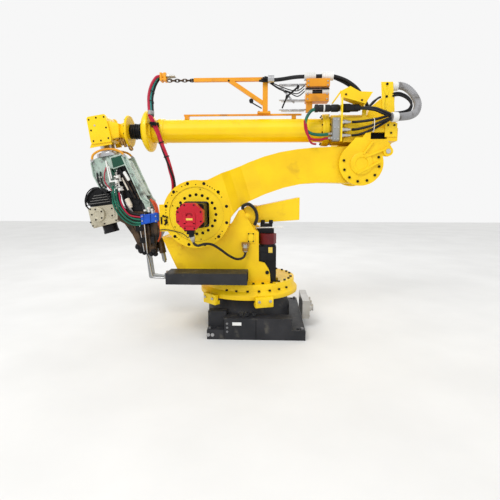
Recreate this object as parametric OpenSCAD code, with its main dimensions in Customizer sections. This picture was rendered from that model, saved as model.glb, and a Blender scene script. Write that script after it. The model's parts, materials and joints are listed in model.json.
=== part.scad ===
// Heavy six-axis industrial arm with a long slim forearm, a servo spot-weld gun and a
// hose dress pack, parked folded: lower arm leaning back, forearm level, gun hanging.
// +X is forward, +Y is the arm's left side, +Z is up. The origin is on the first axis,
// at the base's bottom face.

/* [Arm] */
// Forward offset of the shoulder axis from the first axis
shoulder_x = 312; // [300:1:325]
// Height of the shoulder axis above the base's bottom face
shoulder_z = 770; // [760:1:785]
// Distance from the shoulder axis to the elbow axis
lower_arm_len = 1075; // [1060:1:1090]
// Lean of the parked lower arm above the horizontal, to the rear
arm_lean = 17; // [16.5:0.5:18]
// Height of the forearm's centre line above the elbow axis
elbow_rise = 225; // [222:1:235]
// Distance along the forearm from the elbow axis to the wrist bend axis
forearm_len = 1695; // [1670:1:1720]
// Outer radius of the forearm tube
tube_r = 75; // [70:1:80]
// Tilt of the hanging tool from the vertical, towards the rear
tool_tilt = 10; // [8:1:12]

/* [Base and turret] */
// Length of the base foot, front to rear
base_len = 610; // [580:5:640]
// Width of the base foot
base_w = 770; // [740:5:800]
// Distance between the base bolts, front to rear
bolt_span_x = 520; // [500:5:540]
// Distance between the base bolts, side to side
bolt_span_y = 700; // [680:5:710]
// Radius of a base bolt hole
bolt_hole_r = 12; // [10:1:14]
// Outer radius of the turret's ring
ring_r = 335; // [325:1:345]
// Radius of the lower arm's round hub
hub_r = 210; // [205:1:215]
// Width of a fork pocket tube
fork_w = 190; // [170:5:200]
// Height of a fork pocket tube
fork_h = 70; // [60:1:75]

/* [Wrist and gun] */
// Radius of the hose ring at the forearm's front
hose_ring_r = 134; // [125:1:140]
// Distance from the wrist bend axis to the tool flange's face
flange_reach = 170; // [165:1:180]
// Open gap between the two electrode caps
cap_gap = 62; // [60:1:70]

/* [Hidden] */
$fn = 64;

yellow = [0.98, 0.80, 0.05];
orange = [0.93, 0.50, 0.10];
black = [0.10, 0.10, 0.11];
grey = [0.55, 0.56, 0.57];
silver = [0.78, 0.79, 0.80];
red = [0.80, 0.10, 0.13];
green = [0.05, 0.42, 0.30];
pale = [0.86, 0.88, 0.84];
bronze = [0.33, 0.24, 0.16];

// axis places
elbow_x = shoulder_x - lower_arm_len * cos(arm_lean);
elbow_z = shoulder_z + lower_arm_len * sin(arm_lean);
fore_z = elbow_z + elbow_rise;
bend_x = elbow_x + forearm_len;

// base and turret levels
foot_h = 62;
base_front = 245;
bolt_x = -60;
neck_low_r = 284;
neck_r = 248;
neck_top = 232;
side_top = 137;
ring_low = 236;
skirt_top = 330;
wall_in = 140;
wall_out = 232;
hub_in = 237;
hub_out = 296;
socket_r = 150;
reducer_r = 180;
run_gap = 0.05;

// lower arm and elbow
arm_half_w = 112;
arm_end_r = 118;
cheek_in = 120;
cheek_out = 150;
elbow_front = 219;
elbow_back = -215;

// forearm, measured forward from the elbow axis
tube_front = 1317;
ring_back = 1357;
ring_front = 1417;
coupling_front = 1514;
rail_z = fore_z + 102;
boom_z = fore_z + 325;

// gun's electrodes, along their own tilted line, up from the fixed holder
electrode_x = 577;
electrode_z = 326;
electrode_tilt = 11;
fixed_cap = 28;
cap_z = fixed_cap + cap_gap;
cap_r = 9;
shank_r = 15;

// ---- helpers ----

// Extrude a side-view outline, drawn in X and Z, from y0 to y1
module slab(y0, y1) translate([0, y1, 0]) rotate([90, 0, 0]) linear_extrude(y1 - y0) children();

// A cylinder along Y from y0 to y1
module rod_y(r, y0, y1, n = 64)
    translate([0, y0, 0]) rotate([-90, 0, 0]) cylinder(r = r, h = y1 - y0, $fn = n);

// A cylinder along X from x0 to x1
module rod_x(r, x0, x1, n = 64)
    translate([x0, 0, 0]) rotate([0, 90, 0]) cylinder(r = r, h = x1 - x0, $fn = n);

// A block given by its lowest and highest corners
module block(lo, hi) translate(lo) cube(hi - lo);

// A flat bar between two points of the side view, with round ends
module bar_2d(a, b, w) hull() {
    translate(a) circle(w / 2, $fn = 24);
    translate(b) circle(w / 2, $fn = 24);
}

module at_shoulder() translate([shoulder_x, 0, shoulder_z]) children();
module at_elbow() translate([elbow_x, 0, elbow_z]) children();
module on_forearm() translate([elbow_x, 0, fore_z]) children();
module at_bend() translate([bend_x, 0, fore_z]) children();
module on_electrodes()
    translate([electrode_x, 0, electrode_z]) rotate([0, electrode_tilt, 0]) children();
module in_tool() at_bend() rotate([0, tool_tilt, 0]) children();

// Copies turned about Y, count of them, at a radius, from a first angle
module around_y(count, r, first = 0) for (i = [0:count - 1])
    rotate([0, first + i * 360 / count, 0]) translate([r, 0, 0]) children();

// Points of a smooth curve through a route, steps per stretch
function route_pt(p, i) = p[max(0, min(len(p) - 1, i))];
function curve_at(a, b, c, d, t) = 0.5 * (2 * b + (c - a) * t
    + (2 * a - 5 * b + 4 * c - d) * t * t + (3 * b - a - 3 * c + d) * t * t * t);
function smooth(p, steps) = concat(
    [for (i = [0:len(p) - 2], k = [0:steps - 1])
        curve_at(route_pt(p, i - 1), p[i], p[i + 1], route_pt(p, i + 2), k / steps)],
    [p[len(p) - 1]]);
function unit(v) = v / norm(v);
function along(p, i) = unit(route_pt(p, i + 1) - route_pt(p, i - 1));

// A round hose swept along a smooth route, or along points first to last of it.
// side is never parallel to the route.
module hose(route, r, steps = 4, sides = 10, side = [0, 1, 0], first = 0, last = undef) {
    p = smooth(route, steps);
    n = (is_undef(last) ? len(p) - 1 : last) - first + 1;
    rings = [for (i = [first:first + n - 1])
        let (t = along(p, i), u = unit(cross(side, t)), v = cross(t, u))
        for (k = [0:sides - 1]) p[i] + r * (cos(360 * k / sides) * u + sin(360 * k / sides) * v)];
    walls = [for (i = [0:n - 2], k = [0:sides - 1])
        let (a = i * sides + k, b = i * sides + (k + 1) % sides)
        [b, a, a + sides, b + sides]];
    start_face = [for (k = [0:sides - 1]) k];
    end_face = [for (k = [sides - 1:-1:0]) (n - 1) * sides + k];
    polyhedron(points = rings, faces = concat(walls, [start_face], [end_face]), convexity = 8);
}

// ---- base ----

module base_casting() color(black) difference() {
    union() {
        block([base_front - base_len, -base_w / 2, 0], [base_front, base_w / 2, foot_h]);
        for (side = [-1, 1]) translate([0, side * (base_w / 2 - 45), 0])
            block([-280, -45, 0], [140, 45, side_top]);
        translate([0, 0, foot_h - 1]) cylinder(r = neck_low_r, h = 80, $fn = 96);
        translate([0, 0, foot_h + 78])
            cylinder(r1 = neck_low_r, r2 = neck_r, h = neck_top - foot_h - 78, $fn = 96);
        // corner posts at the front of each side
        for (side = [-1, 1]) translate([0, side * 290, 0])
            block([130, -34, 0], [base_front, 34, 162]);
    }
    // seat of the reducer
    translate([0, 0, neck_top - 32]) cylinder(r = reducer_r, h = 60, $fn = 96);
    // cable well in the middle
    translate([0, 0, 24]) cylinder(r = 70, h = 300);
    // anchor holes
    for (x = [-1, 1], y = [-1, 1])
        translate([bolt_x + x * bolt_span_x / 2, y * bolt_span_y / 2, -1])
            cylinder(r = bolt_hole_r, h = 200, $fn = 48);
}

module base_connector_panel() color(grey) {
    difference() {
        block([-413, -150, 63], [-365.2, 150, 186]);
        for (y = [-90, 0, 90]) translate([-420, y, 126]) rod_x(34, 0, 12, 48);
    }
    for (y = [-90, 0, 90]) translate([0, y, 126]) rod_x(28, -428, -408, 48);
}

module base_bolts() color(silver) {
    // round plugs on the side face and jacking bolts on the corner feet
    for (side = [-1, 1]) {
        for (z = [52, 78, 104]) translate([118, side * (base_w / 2 + 1.6), z])
            rod_y(7, -1.5, 1.5, 24);
        translate([228, side * 362, foot_h]) cylinder(r = 10, h = 14, $fn = 6);
        translate([-345, side * 362, foot_h]) cylinder(r = 10, h = 14, $fn = 6);
    }
}

module j1_reducer() color(grey) difference() {
    translate([0, 0, neck_top - 32]) cylinder(r = reducer_r - run_gap, h = 98, $fn = 96);
    translate([0, 0, 100]) cylinder(r = 70, h = 300);
}

// ---- turret ----

wall_outline = [[535, 622], [502, 522], [435, 410], [400, skirt_top - 12], [-150, skirt_top - 12],
    [-145, 384], [-137, 416], [-110, 457], [-73, 466], [-72, 656], [-45, 669], [27, 796],
    [56, 790], [112, 690], [300, 610]];
block_outline = [[558, 618], [468, 418], [410, 320], [-110, 320], [-50, 460], [-50, 812],
    [14, 812], [64, 700], [64, 555], [500, 555]];

module turret_casting() color(yellow) difference() {
    union() {
        translate([0, 0, ring_low]) cylinder(r = ring_r, h = 26, $fn = 128);
        translate([0, 0, ring_low + 26]) cylinder(r1 = ring_r, r2 = ring_r - 22, h = 24, $fn = 128);
        translate([0, 0, ring_low + 50])
            cylinder(r = ring_r - 22, h = skirt_top - ring_low - 50, $fn = 128);
        for (side = [0, 1]) mirror([0, side, 0]) slab(wall_in, wall_out) polygon(wall_outline);
        slab(wall_in, wall_out) translate([shoulder_x, shoulder_z]) circle(200, $fn = 96);
        slab(-200, 200) polygon(block_outline);
    }
    // socket of the shoulder reducer
    at_shoulder() rod_y(socket_r, 60, 300, 96);
    // recess over the first reducer
    translate([0, 0, ring_low - 1]) cylinder(r = 228, h = 67, $fn = 96);
    // cable way up the middle
    translate([0, 0, 200]) cylinder(r = 70, h = 600);
    // pocket of the first motor
    block([-200, 82, skirt_top - 30], [-66, 214, 800]);
}

module ring_bolts() color(silver) {
    for (a = [62:12:170]) rotate([0, 0, a]) translate([292, 0, skirt_top])
        cylinder(r = 9, h = 9, $fn = 6);
    for (a = [192:12:298]) rotate([0, 0, a]) translate([292, 0, skirt_top])
        cylinder(r = 9, h = 9, $fn = 6);
}

module j1_stoppers() color(yellow) {
    // adjustable stop brackets hanging from the ring
    for (a = [108, 48]) rotate([0, 0, a]) difference() {
        union() {
            block([338, -58, 196], [366, 58, 262]);
            block([325, -58, 196], [366, 58, 222]);
        }
        translate([352, 0, 190]) cylinder(r = 10, h = 100, $fn = 32);
    }
}

module j1_motor() color(black) {
    block([-184, 96, skirt_top - 30], [-70, 210, 560]);
    translate([-127, 153, 560]) cylinder(r = 50, h = 14);
    block([-105, 206, 380], [-75, 213.8, 412]);
}

module j1_motor_cap() color(red) translate([-127, 153, 574]) difference() {
    cylinder(r = 58, h = 66, $fn = 8);
    translate([0, 0, 54]) cylinder(r = 22, h = 20, $fn = 32);
}

module fork_pockets() color(black) for (side = [0, 1]) mirror([0, side, 0])
    translate([-5, wall_out + 1, 0]) difference() {
        block([0, 0, 346], [500, fork_w - 40, 346 + fork_h]);
        block([-1, 8, 354], [501, fork_w - 48, 338 + fork_h]);
    }

module gland_plate() color(yellow) difference() {
    block([-48, wall_out + 0.2, 588], [2, wall_out + 7, 656]);
    for (x = [-38, -8], z = [598, 646]) translate([x, wall_out - 1, z]) rod_y(3.3, 0, 10, 24);
}

module cable_gland() color(silver) {
    translate([12, wall_out + 24, 0]) {
        translate([0, 0, 534]) cylinder(r = 15, h = 24, $fn = 48);
        translate([0, 0, 558]) cylinder(r = 20, h = 26, $fn = 6);
    }
    block([-12, wall_out + 0.2, 562], [34, wall_out + 6, 586]);
}

module rear_beam() color(yellow) difference() {
    slab(-70, 70) polygon([[-52, 700], [-52, 812], [-340, 872], [-340, 722]]);
    slab(-56, 56) polygon([[-90, 722], [-90, 798], [-350, 852], [-350, 738]]);
}

module turret_conduit() color(black)
    hose([[-45, 215, 700], [-60, 221, 744], [-50, 225, 794], [-12, 225, 830],
        [24, 218, 822], [31, 212, 801]], 11, 4, 10, [0, 1, 0.02]);

module j1_bearing() color(silver) difference() {
    translate([0, 0, ring_low + 2]) cylinder(r = 227.9, h = 60, $fn = 96);
    translate([0, 0, ring_low]) cylinder(r = reducer_r + 0.02, h = 80, $fn = 96);
}

module j2_reducer() color(grey) at_shoulder() difference() {
    rod_y(socket_r - run_gap, 110, 236, 96);
    rod_y(60, 100, 240);
}

// ---- lower arm ----

// Outline in the arm's own frame: along it from the shoulder, and up from its line
arm_outline = [[0, 209], [130, 180], [285, 203], [400, 220], [500, 226], [610, 222], [720, 207],
    [820, 186], [920, 160], [1000, 137], [lower_arm_len, arm_end_r],
    [lower_arm_len, -arm_end_r], [1000, -104], [900, -70], [800, -38], [690, -12], [566, -2],
    [440, -6], [321, -21], [250, -41], [190, -86], [0, -150]];
arm_plan = [[0, hub_in], [216, hub_in], [236, 150], [330, -arm_half_w],
    [lower_arm_len + 200, -arm_half_w], [lower_arm_len + 200, arm_half_w],
    [430, arm_half_w], [340, 140], [270, 215], [222, hub_out - 6], [0, hub_out - 6]];

module lower_arm() color(yellow) difference() {
    union() {
        intersection() {
            at_shoulder() rotate([0, arm_lean, 0]) mirror([1, 0, 0]) union() {
                slab(-arm_half_w, hub_out) polygon(arm_outline);
                translate([lower_arm_len, 0, 0]) rod_y(arm_end_r, -arm_half_w, arm_half_w, 96);
            }
            at_shoulder() rotate([0, arm_lean, 0]) mirror([1, 0, 0])
                translate([0, 0, -400]) linear_extrude(900) polygon(arm_plan);
        }
        at_shoulder() rod_y(hub_r, hub_in, hub_out, 128);
        // square pad on the hub's front
        block([470, hub_in, 664], [542, hub_out, 830]);
    }
    // seat of the reducer plate, and the run of the arm clear of the turret
    at_shoulder() rod_y(169, 200, 320, 128);
    at_shoulder() rod_y(213, -200, hub_in, 128);
    // twelve deep bolt holes round the hub's rim
    at_shoulder() around_y(12, 194, 15) rod_y(10, hub_out - 30, hub_out + 10, 24);
    // socket of the elbow reducer
    at_elbow() rod_y(85, -cheek_in, cheek_in, 96);
}

module hub_plate() color(yellow) at_shoulder() difference() {
    rod_y(168.9, hub_in, hub_out - 5, 128);
    slab(200, 320) offset(r = 20, $fn = 32) square(120, center = true);
    around_y(20, 121, 0) rod_y(9.5, hub_out - 25, hub_out + 10, 24);
}

module hub_bolts() color(black) at_shoulder() {
    around_y(12, 194, 15) rod_y(9.9, hub_out - 30, hub_out - 9, 24);
    around_y(20, 121, 0) rod_y(9.4, hub_out - 25, hub_out - 13, 24);
    // bolts on the square pad
    for (z = [-62, -38, -14]) translate([196, 0, z]) rod_y(6, hub_out, hub_out + 6, 6);
    translate([218, 0, 0]) block([-5, hub_out, -60], [5, hub_out + 5, -16]);
}

module j2_bearing() color(silver) at_shoulder() difference() {
    rod_y(60 - run_gap, 200, hub_in - 0.1, 64);
    rod_y(40, 190, 260, 64);
}

module j2_motor() color(black) at_shoulder() {
    slab(hub_in + 2, 440) offset(r = 14, $fn = 32) square(112, center = true);
    rod_y(50, 440, 452, 48);
}

module j2_motor_cap() color(red) at_shoulder() difference() {
    translate([0, 452, 0]) rotate([-90, 22.5, 0]) cylinder(r = 82, h = 63, $fn = 8);
    translate([0, 508, 0]) rotate([-90, 0, 0]) cylinder(r = 22, h = 20, $fn = 32);
}

module j2_connector() color(silver) at_shoulder() translate([2, 470, -74]) {
    block([-16, -16, -28], [16, 16, -4]);
    rotate([0, 12, 0]) {
        translate([0, 0, -62]) cylinder(r = 13, h = 38, $fn = 48);
    }
}

// Route of the shoulder motor's cable: connector, slack loop, gland
j2_cable_route = [[301, 470, 630], [296, 466, 610], [276, 452, 598], [242, 424, 604],
    [204, 386, 596], [160, 350, 562], [112, 320, 520], [66, 288, 492], [30, 266, 494],
    [14, 257, 514], [12, 256, 533.6]];
module j2_cable() color(black) hose(j2_cable_route, 7, 4, 12, [0.2, 1, 0]);

// ---- elbow ----

module j3_reducer() color(grey) at_elbow() difference() {
    rod_y(85 - run_gap, -cheek_in + 1, cheek_in - 1, 96);
    rod_y(45 + run_gap, -130, 130, 64);
}

cheek_outline = [[-168, 44], [-190, 74], [-180, 104], [-150, 150], [-205, 165], [-215, 215],
    [-40, 215], [0, 160], [40, 160], [60, 137], [120, 70]];
bridge_outline = [[-215, 137], [-215, 215], [-40, 215], [0, 160], [40, 160], [60, 137]];

module elbow_housing() color(yellow) difference() {
    union() {
        on_forearm() {
            rod_x(96, elbow_back, elbow_front - 40, 96);
            rod_x(102, elbow_front - 22, elbow_front, 96);
            rod_x(88, elbow_front - 60, elbow_front, 96);
            block([-215, -cheek_out, -88], [110, 104, 62]);
            // gear housing that holds the three wrist motors
            block([58.2, -392, -116], [110, -113, 118]);
            block([58.2, -120, -88], [110, -100, 118]);
        }
        at_elbow() slab(90, cheek_out) polygon(bridge_outline);
        at_elbow() for (side = [0, 1]) mirror([0, side, 0]) {
            rod_y(138, cheek_in, cheek_out, 96);
            slab(cheek_in, cheek_out) polygon(cheek_outline);
        }
        // axle through the elbow
        at_elbow() rod_y(45, -cheek_out, cheek_out, 64);
        // lug with its pin
        at_elbow() translate([-160, 0, 74]) rod_y(30, cheek_in, cheek_out + 12, 48);
        // raised back that carries the rear bracket
        on_forearm() slab(-60, 60) polygon([[-40, 80], [-60, 130], [-150, 205], [-212, 205],
            [-212, 40]]);
        // ribs on the near cheek
        at_elbow() slab(cheek_out, cheek_out + 14) {
            bar_2d([-20, 40], [-140, 86], 12);
            bar_2d([-10, 60], [-60, 130], 12);
            bar_2d([20, -60], [-110, 10], 12);
        }
    }
    // way through for the wrist shafts
    on_forearm() rod_x(58, elbow_back - 10, elbow_front + 10, 96);
    // pocket in the near side
    on_forearm() block([-150, cheek_out - 24, -76], [-50, cheek_out + 1, -34]);
}

module j3_motor() color(black) at_elbow() {
    rod_y(74, -218, -cheek_out - 0.2, 64);
    translate([0, -218, 0]) block([-58, -150, -58], [58, 0, 58]);
    translate([0, -418, 0]) rotate([-90, 22.5, 0]) cylinder(r = 60, h = 50, $fn = 8);
}

module wrist_motors() color(black) on_forearm() for (place = [[-214, 60], [-214, -58], [-332, 0]])
    translate([0, place[0], place[1]]) {
        block([-140, -52, -52], [40, 52, 52]);
        rod_x(48, -154, -140, 32);
        translate([-200, 0, 0]) rotate([0, 90, 0]) rotate([0, 0, 22.5])
            cylinder(r = 54, h = 46, $fn = 8);
        rod_x(44, 40, 58, 32);
    }

module rear_brackets() color(yellow) on_forearm() {
    // upright plate with three holes, behind the elbow
    difference() {
        slab(60.2, 66) polygon([[-122, 285], [-196, 285], [-214, 120], [-214, 78], [-140, 78]]);
        for (z = [272, 196, 104]) translate([-160, 50, z]) rod_y(7, 0, 30, 24);
    }
    block([-209, cheek_out + 0.2, -64], [-135, cheek_out + 6, 20]);
    // folded plate over the manifold
    slab(84, 90) polygon([[133, 228], [74, 256], [14, 224], [-68, 220], [-10, 124], [133, 178]]);
    slab(90, 150) polygon([[133, 178], [133, 184], [-10, 143], [-10, 137]]);
    block([-30, 84, 62.2], [-4, 96, 128]);
    // flap
    slab(78, 84) polygon([[188, 154], [180, 150], [122, 228], [133, 232]]);
}

module hose_manifold() color(grey) on_forearm() {
    block([140, 96, -84], [186, 150, 56]);
    // yellow edge plate behind the box
    block([130, 97, -90], [139.8, 172, 172]);
    for (z = fitting_z) translate([0, 124, z]) rod_x(12, 66, 129.8, 24);
    translate([0, 124, 116]) rod_x(24, 20, 129.8, 32);
    translate([0, 124, 116]) rod_x(17, 140, 282, 32);
}

fitting_z = [32, -14, -50];

// Grey conduit behind the elbow, then the cable run to the manifold
rear_conduit_route = [[-200, 30, 265], [-245, 34, 268], [-290, 44, 250], [-332, 56, 205],
    [-350, 80, 150], [-336, 104, 98], [-290, 146, 66], [-225, 178, 52], [-160, 192, 48]];
module rear_conduit() color(grey) on_forearm() hose(rear_conduit_route, 24, 4, 12);

// Motor cables from the conduit to the three fittings
motor_cables = [[[-154, 188, 62], [-100, 182, 46], [-40, 160, 36], [30, 130, 32], [64, 124, 32]],
    [[-154, 204, 44], [-100, 192, 22], [-40, 170, 0], [25, 132, -12], [64, 124, -14]],
    [[-154, 184, 36], [-100, 178, 2], [-40, 172, -24], [20, 142, -46], [64, 124, -50]]];
// Looping hoses in front of the manifold
green_loop = [[290, 118, 110], [330, 120, 80], [356, 124, 26], [340, 126, -26], [280, 126, -42],
    [230, 124, -40], [188.5, 124, -40]];
red_loop = [[360, 141, 40], [352, 143, -20], [320, 142, -70], [260, 136, -76], [225, 134, -68],
    [188.5, 134, -68]];
module manifold_hoses() on_forearm() {
    color(black) for (route = motor_cables) hose(route, 8, 3, 8);
    color(green) hose(green_loop, 9, 4, 8);
    color(red) hose(red_loop, 8, 4, 8);
}

// ---- forearm ----

module forearm_tube() color(yellow) on_forearm() difference() {
    union() {
        rod_x(tube_r, elbow_front + 0.2, tube_front, 96);
        rod_x(tube_r + 5, tube_front - 40, tube_front, 96);
        rod_x(102, elbow_front + 0.2, elbow_front + 20, 96);
        rod_x(tube_r, tube_front - 1, ring_front, 96);
    }
    rod_x(tube_r - 12, elbow_front - 20, ring_front + 20, 96);
}

module drive_shafts() color(silver) on_forearm() difference() {
    rod_x(40, elbow_back + 20, coupling_front - 30, 64);
    rod_x(30, elbow_back, coupling_front, 64);
}

module hose_ring() color(yellow) on_forearm() difference() {
    translate([ring_back, 0, 0]) rotate([0, 90, 0]) rotate_extrude($fn = 128)
        polygon([[0, 0], [hose_ring_r - 40, 0], [hose_ring_r - 6, 12], [hose_ring_r, 20],
            [hose_ring_r, 36], [hose_ring_r - 8, 46], [hose_ring_r - 30, 60], [0, 60]]);
    rod_x(tube_r + 0.1, ring_back - 10, ring_front + 10, 96);
    // slot for the hoses on the near side
    block([ring_back - 5, 96, -42], [ring_back + 16, 140, 34]);
}

module boom_frame() color(orange) {
    // low rail on stand-offs
    translate([elbow_x, 0, 0]) {
        block([370, -10, rail_z - 5], [1150, 10, rail_z + 5]);
        for (x = [420, 1130]) block([x - 14, -16, rail_z - 26.9], [x + 14, 16, rail_z - 4]);
        // foot, post, boom and brace
        block([574, -40, rail_z + 5], [660, 40, rail_z + 15]);
        block([592, -16, rail_z + 15], [626, 16, boom_z - 8]);
        block([592, -13, boom_z - 11], [1078, 13, boom_z + 11]);
        slab(-12, 12) bar_2d([612, rail_z + 66], [848, boom_z - 2], 26);
    }
}

module hose_carriers() color(orange) translate([elbow_x, 0, 0]) {
    block([200, 0, boom_z - 66], [348, 80, boom_z - 18]);
    block([204, 0, rail_z + 66], [352, 80, rail_z + 113]);
    block([306, 20, rail_z + 5.2], [346, 60, rail_z + 66]);
}

module carrier_clamps() color(pale) translate([elbow_x, 40, 0]) {
    translate([0, 0, boom_z - 88]) {
        for (x = [222, 330]) rod_x(21.5, x - 22, x + 22, 32);
        rod_x(16, 242, 312, 32);
    }
    for (x = [212, 324]) translate([0, 0, boom_z + 9.3]) difference() {
        rod_x(27, x - 36, x + 36, 32);
        rod_x(17, x - 40, x + 40, 32);
    }
}

// The hose pack over the forearm, from the boom back to the elbow
top_hose_route = [[600, 37, -12], [510, 39, -6], [420, 40, 6], [340, 40, 9], [220, 40, 10],
    [160, 40, 5], [90, 39, -20], [30, 36, -60], [-16, 30, -112], [-60, 24, -190]];
module top_hose() color(black) translate([elbow_x, 0, boom_z]) hose(top_hose_route, 12, 4, 12);

module spring_rods() color(silver) translate([elbow_x, 40, boom_z]) {
    // spring rods on the carriers, each from its own block
    translate([0, 0, -44]) rod_x(5, 348.2, 520, 24);
    translate([0, 0, -140]) rod_x(5, 352.2, 520, 24);
    translate([0, 0, -200]) rod_x(5, 346.2, 520, 24);
    slab(-13.2, -5.1) bar_2d([424, -152], [506, -60], 12);
    // collar that holds the hose pack to the boom
    translate([0, -2, -9]) difference() {
        rod_x(24.8, 552, 592, 48);
        rod_x(15.5, 546, 598, 48);
    }
}

module boom_clamp() color(orange) translate([elbow_x, 0, 0]) {
    block([1259, -28, boom_z - 2], [1300, 28, boom_z + 52]);
    // chain links and turnbuckle between the boom and the clamp
    for (x = [1078.2, 1138, 1198]) translate([x, 0, boom_z + 6]) difference() {
        block([0, -7, -13], [60, 7, 13]);
        block([12, -9, -6], [48, 9, 6]);
    }
}

// Three hoses from the boom clamp down to the hose ring
boom_hose_route = [[1300.2, 0, 30], [1308, 0, 30], [1316, 0, 30], [1346, 12, -20],
    [1360, 40, -100], [1350, 76, -166], [1338, 104, -222]];
module boom_hoses() translate([elbow_x, 0, boom_z]) {
    color(red) hose([for (p = boom_hose_route) p + [0, 18, 0]], 8, 3, 8);
    color(green) hose([for (p = boom_hose_route) p], 7, 3, 8);
    color(black) hose([for (p = boom_hose_route) p + [0, -18, 0]], 8, 3, 8);
}

// The hose that leaves the ring for the gun, cut into three stretches end to end
dress_route = [[628, 116, 1389], [598, 112, 1316], [567, 106, 1228], [538, 98, 1139],
    [515, 88, 1050], [502, 74, 985], [508, 54, 925], [535, 30, 860], [560, 14, 800],
    [588, 6, 740], [612, 2, 680], [636, 0, 635], [660, 0, 600]];
dress_r = 15;
module dress_hose(first, last) color(red) hose(dress_route, dress_r, 4, 12, [0, 1, 0], first, last);
module dress_hose_upper() dress_hose(0, 16);
module dress_hose_middle() dress_hose(16, 32);
// the lowest stretch starts a hair below the one above it
module dress_hose_lower() translate([0.1, 0, -0.2]) dress_hose(32, 48);

// ---- wrist ----

module wrist_coupling() color(black) on_forearm() difference() {
    union() {
        rod_x(46, ring_front - 40, coupling_front, 64);
        rod_x(56, ring_front + 6, ring_front + 20, 64);
    }
    rod_x(41, ring_front - 60, coupling_front - 28, 64);
}

// Outline of the wrist's neck, turned about the forearm's line: along it and out
neck_outline = [[0, 0], [0, 100], [6, 104], [14, 104], [22, 84], [34, 64], [50, 56], [84, 48],
    [84, 0]];

module wrist_neck() color(yellow) difference() {
    union() {
        on_forearm() translate([coupling_front + 0.2, 0, 0]) rotate([0, 90, 0])
            rotate_extrude($fn = 96) polygon([for (p = neck_outline) [p[1], p[0]]]);
        // fork that carries the bend axis
        at_bend() for (side = [-1, 1]) hull() {
            translate([0, side * 72, 0]) rod_y(74, -11, 11, 32);
            translate([-92, side * 40, 0]) block([-30, -30, -44], [0, 30, 44]);
        }
        at_bend() block([-124, -56, -44], [-100, 56, 44]);
    }
    // clear of the box between the fork's arms
    at_bend() rod_y(99, -60.5, 60.5, 96);
    at_bend() rod_y(40.05, -90, 90, 64);
}

module wrist_box() color(yellow) in_tool() difference() {
    union() {
        slab(-60, 60) offset(r = 16, $fn = 32) square([88, 134], center = true);
        rod_y(40, -83, 83, 64);
    }
    translate([0, 0, -140]) cylinder(r = 50.05, h = 100, $fn = 96);
}

// Cover plates over the fork, with a lip at the lower edge
cover_outline = [[-50, 74], [48, 76], [54, -66], [-52, -72]];
lip_outline = [[-60, -80], [70, -74], [88, -102], [-64, -104]];
module wrist_cover() color(yellow) in_tool() for (side = [0, 1]) mirror([0, side, 0]) difference() {
    union() {
        slab(84, 100) offset(r = 16, $fn = 32) polygon(cover_outline);
        slab(84, 92) polygon(lip_outline);
    }
    for (x = [-52, 50], z = [-64, 4, 72]) translate([x, 0, z]) rod_y(4.5, 94, 110, 24);
}

// ---- tool flange and gun ----

module tool_flange() color(silver) in_tool() difference() {
    union() {
        translate([0, 0, -144]) cylinder(r = 50, h = 100, $fn = 96);
        translate([0, 0, -flange_reach]) cylinder(r = 84, h = 26, $fn = 96);
    }
    translate([0, 0, -flange_reach - 1]) cylinder(r = 30, h = 20, $fn = 64);
}

rail_outline = [[812, 1146], [844, 1136], [724, 858], [690, 770], [664, 772], [668, 843],
    [692, 872]];
left_panel = [[1052, 1100], [1034, 1122], [960, 1128], [948, 1108], [930, 976], [965, 930],
    [1005, 938], [1040, 1010]];
frame_top = [[1030, 1116], [958, 1133], [822, 1139], [806, 1094], [903, 1064], [952, 1057]];

module gun_frame() color(pale) {
    // side plates, each a long rail, a panel and a top
    for (side = [0, 1]) mirror([0, side, 0]) slab(64, 74) {
        polygon(rail_outline);
        polygon(left_panel);
        polygon(frame_top);
    }
    // mounting block under the tool flange
    in_tool() translate([0, 0, -flange_reach - 0.2]) block([-80, -66, -44], [80, 66, 0]);
    // long cross plate between the rails
    slab(-66, 66) polygon([[822, 1120], [812, 1120], [700, 882], [710, 882]]);
    // inner bracket
    slab(60, 68) polygon([[951, 1101], [941, 1101], [921, 984], [873, 990], [872, 979], [927, 972]]);
}

// Bow over the top of the gun, on the outer side of each plate
guard_route = [[1042, 81.2, 1112], [1036, 81.2, 1147], [999, 81.2, 1173], [948, 81.2, 1186],
    [898, 81.2, 1186], [853, 81.2, 1173], [823, 81.2, 1146]];
module gun_guard() color(orange) for (side = [0, 1]) mirror([0, side, 0])
    hose(guard_route, 7, 4, 10);

module gun_transformer() color(black) difference() {
    slab(-54, 54) polygon([[879, 1077], [830, 1077], [730, 862], [728, 776.5], [791, 776.5],
        [877, 900], [901, 978]]);
    slab(40, 60) polygon([[874, 1050], [852, 1054], [764, 870], [790, 858]]);
}

module gun_motor() color(black) {
    slab(-50, 50) polygon([[1113, 849], [1100, 877], [1044, 933], [1005, 911], [908, 883],
        [908, 827.4], [1086, 804]]);
    // cooling fins
    for (y = [-57, -31, -5, 21, 47]) slab(y, y + 10) polygon([[1118, 850], [1104, 884],
        [1046, 940], [1000, 922], [1000, 860], [1090, 812]]);
    // round housing under the gearbox, square to its lower face
    translate([980, 0, 681.8]) rotate([0, 15.1, 0]) translate([0, 0, -58])
        cylinder(r = 50, h = 58, $fn = 64);
}

module gun_gearbox() color(pale) {
    slab(-66, 66) polygon([[1098, 787], [1080, 803], [905, 826.6], [895.2, 799], [895.2, 731],
        [906, 702], [1065, 659], [1081, 685]]);
    translate([1028, 0, 754]) rod_y(50, 66, 76, 64);
}

module gun_body() color(bronze) difference() {
    gun_body_outer();
    on_electrodes() translate([0, 0, cap_z]) cylinder(r = shank_r + run_gap, h = 166, $fn = 48);
}

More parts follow.
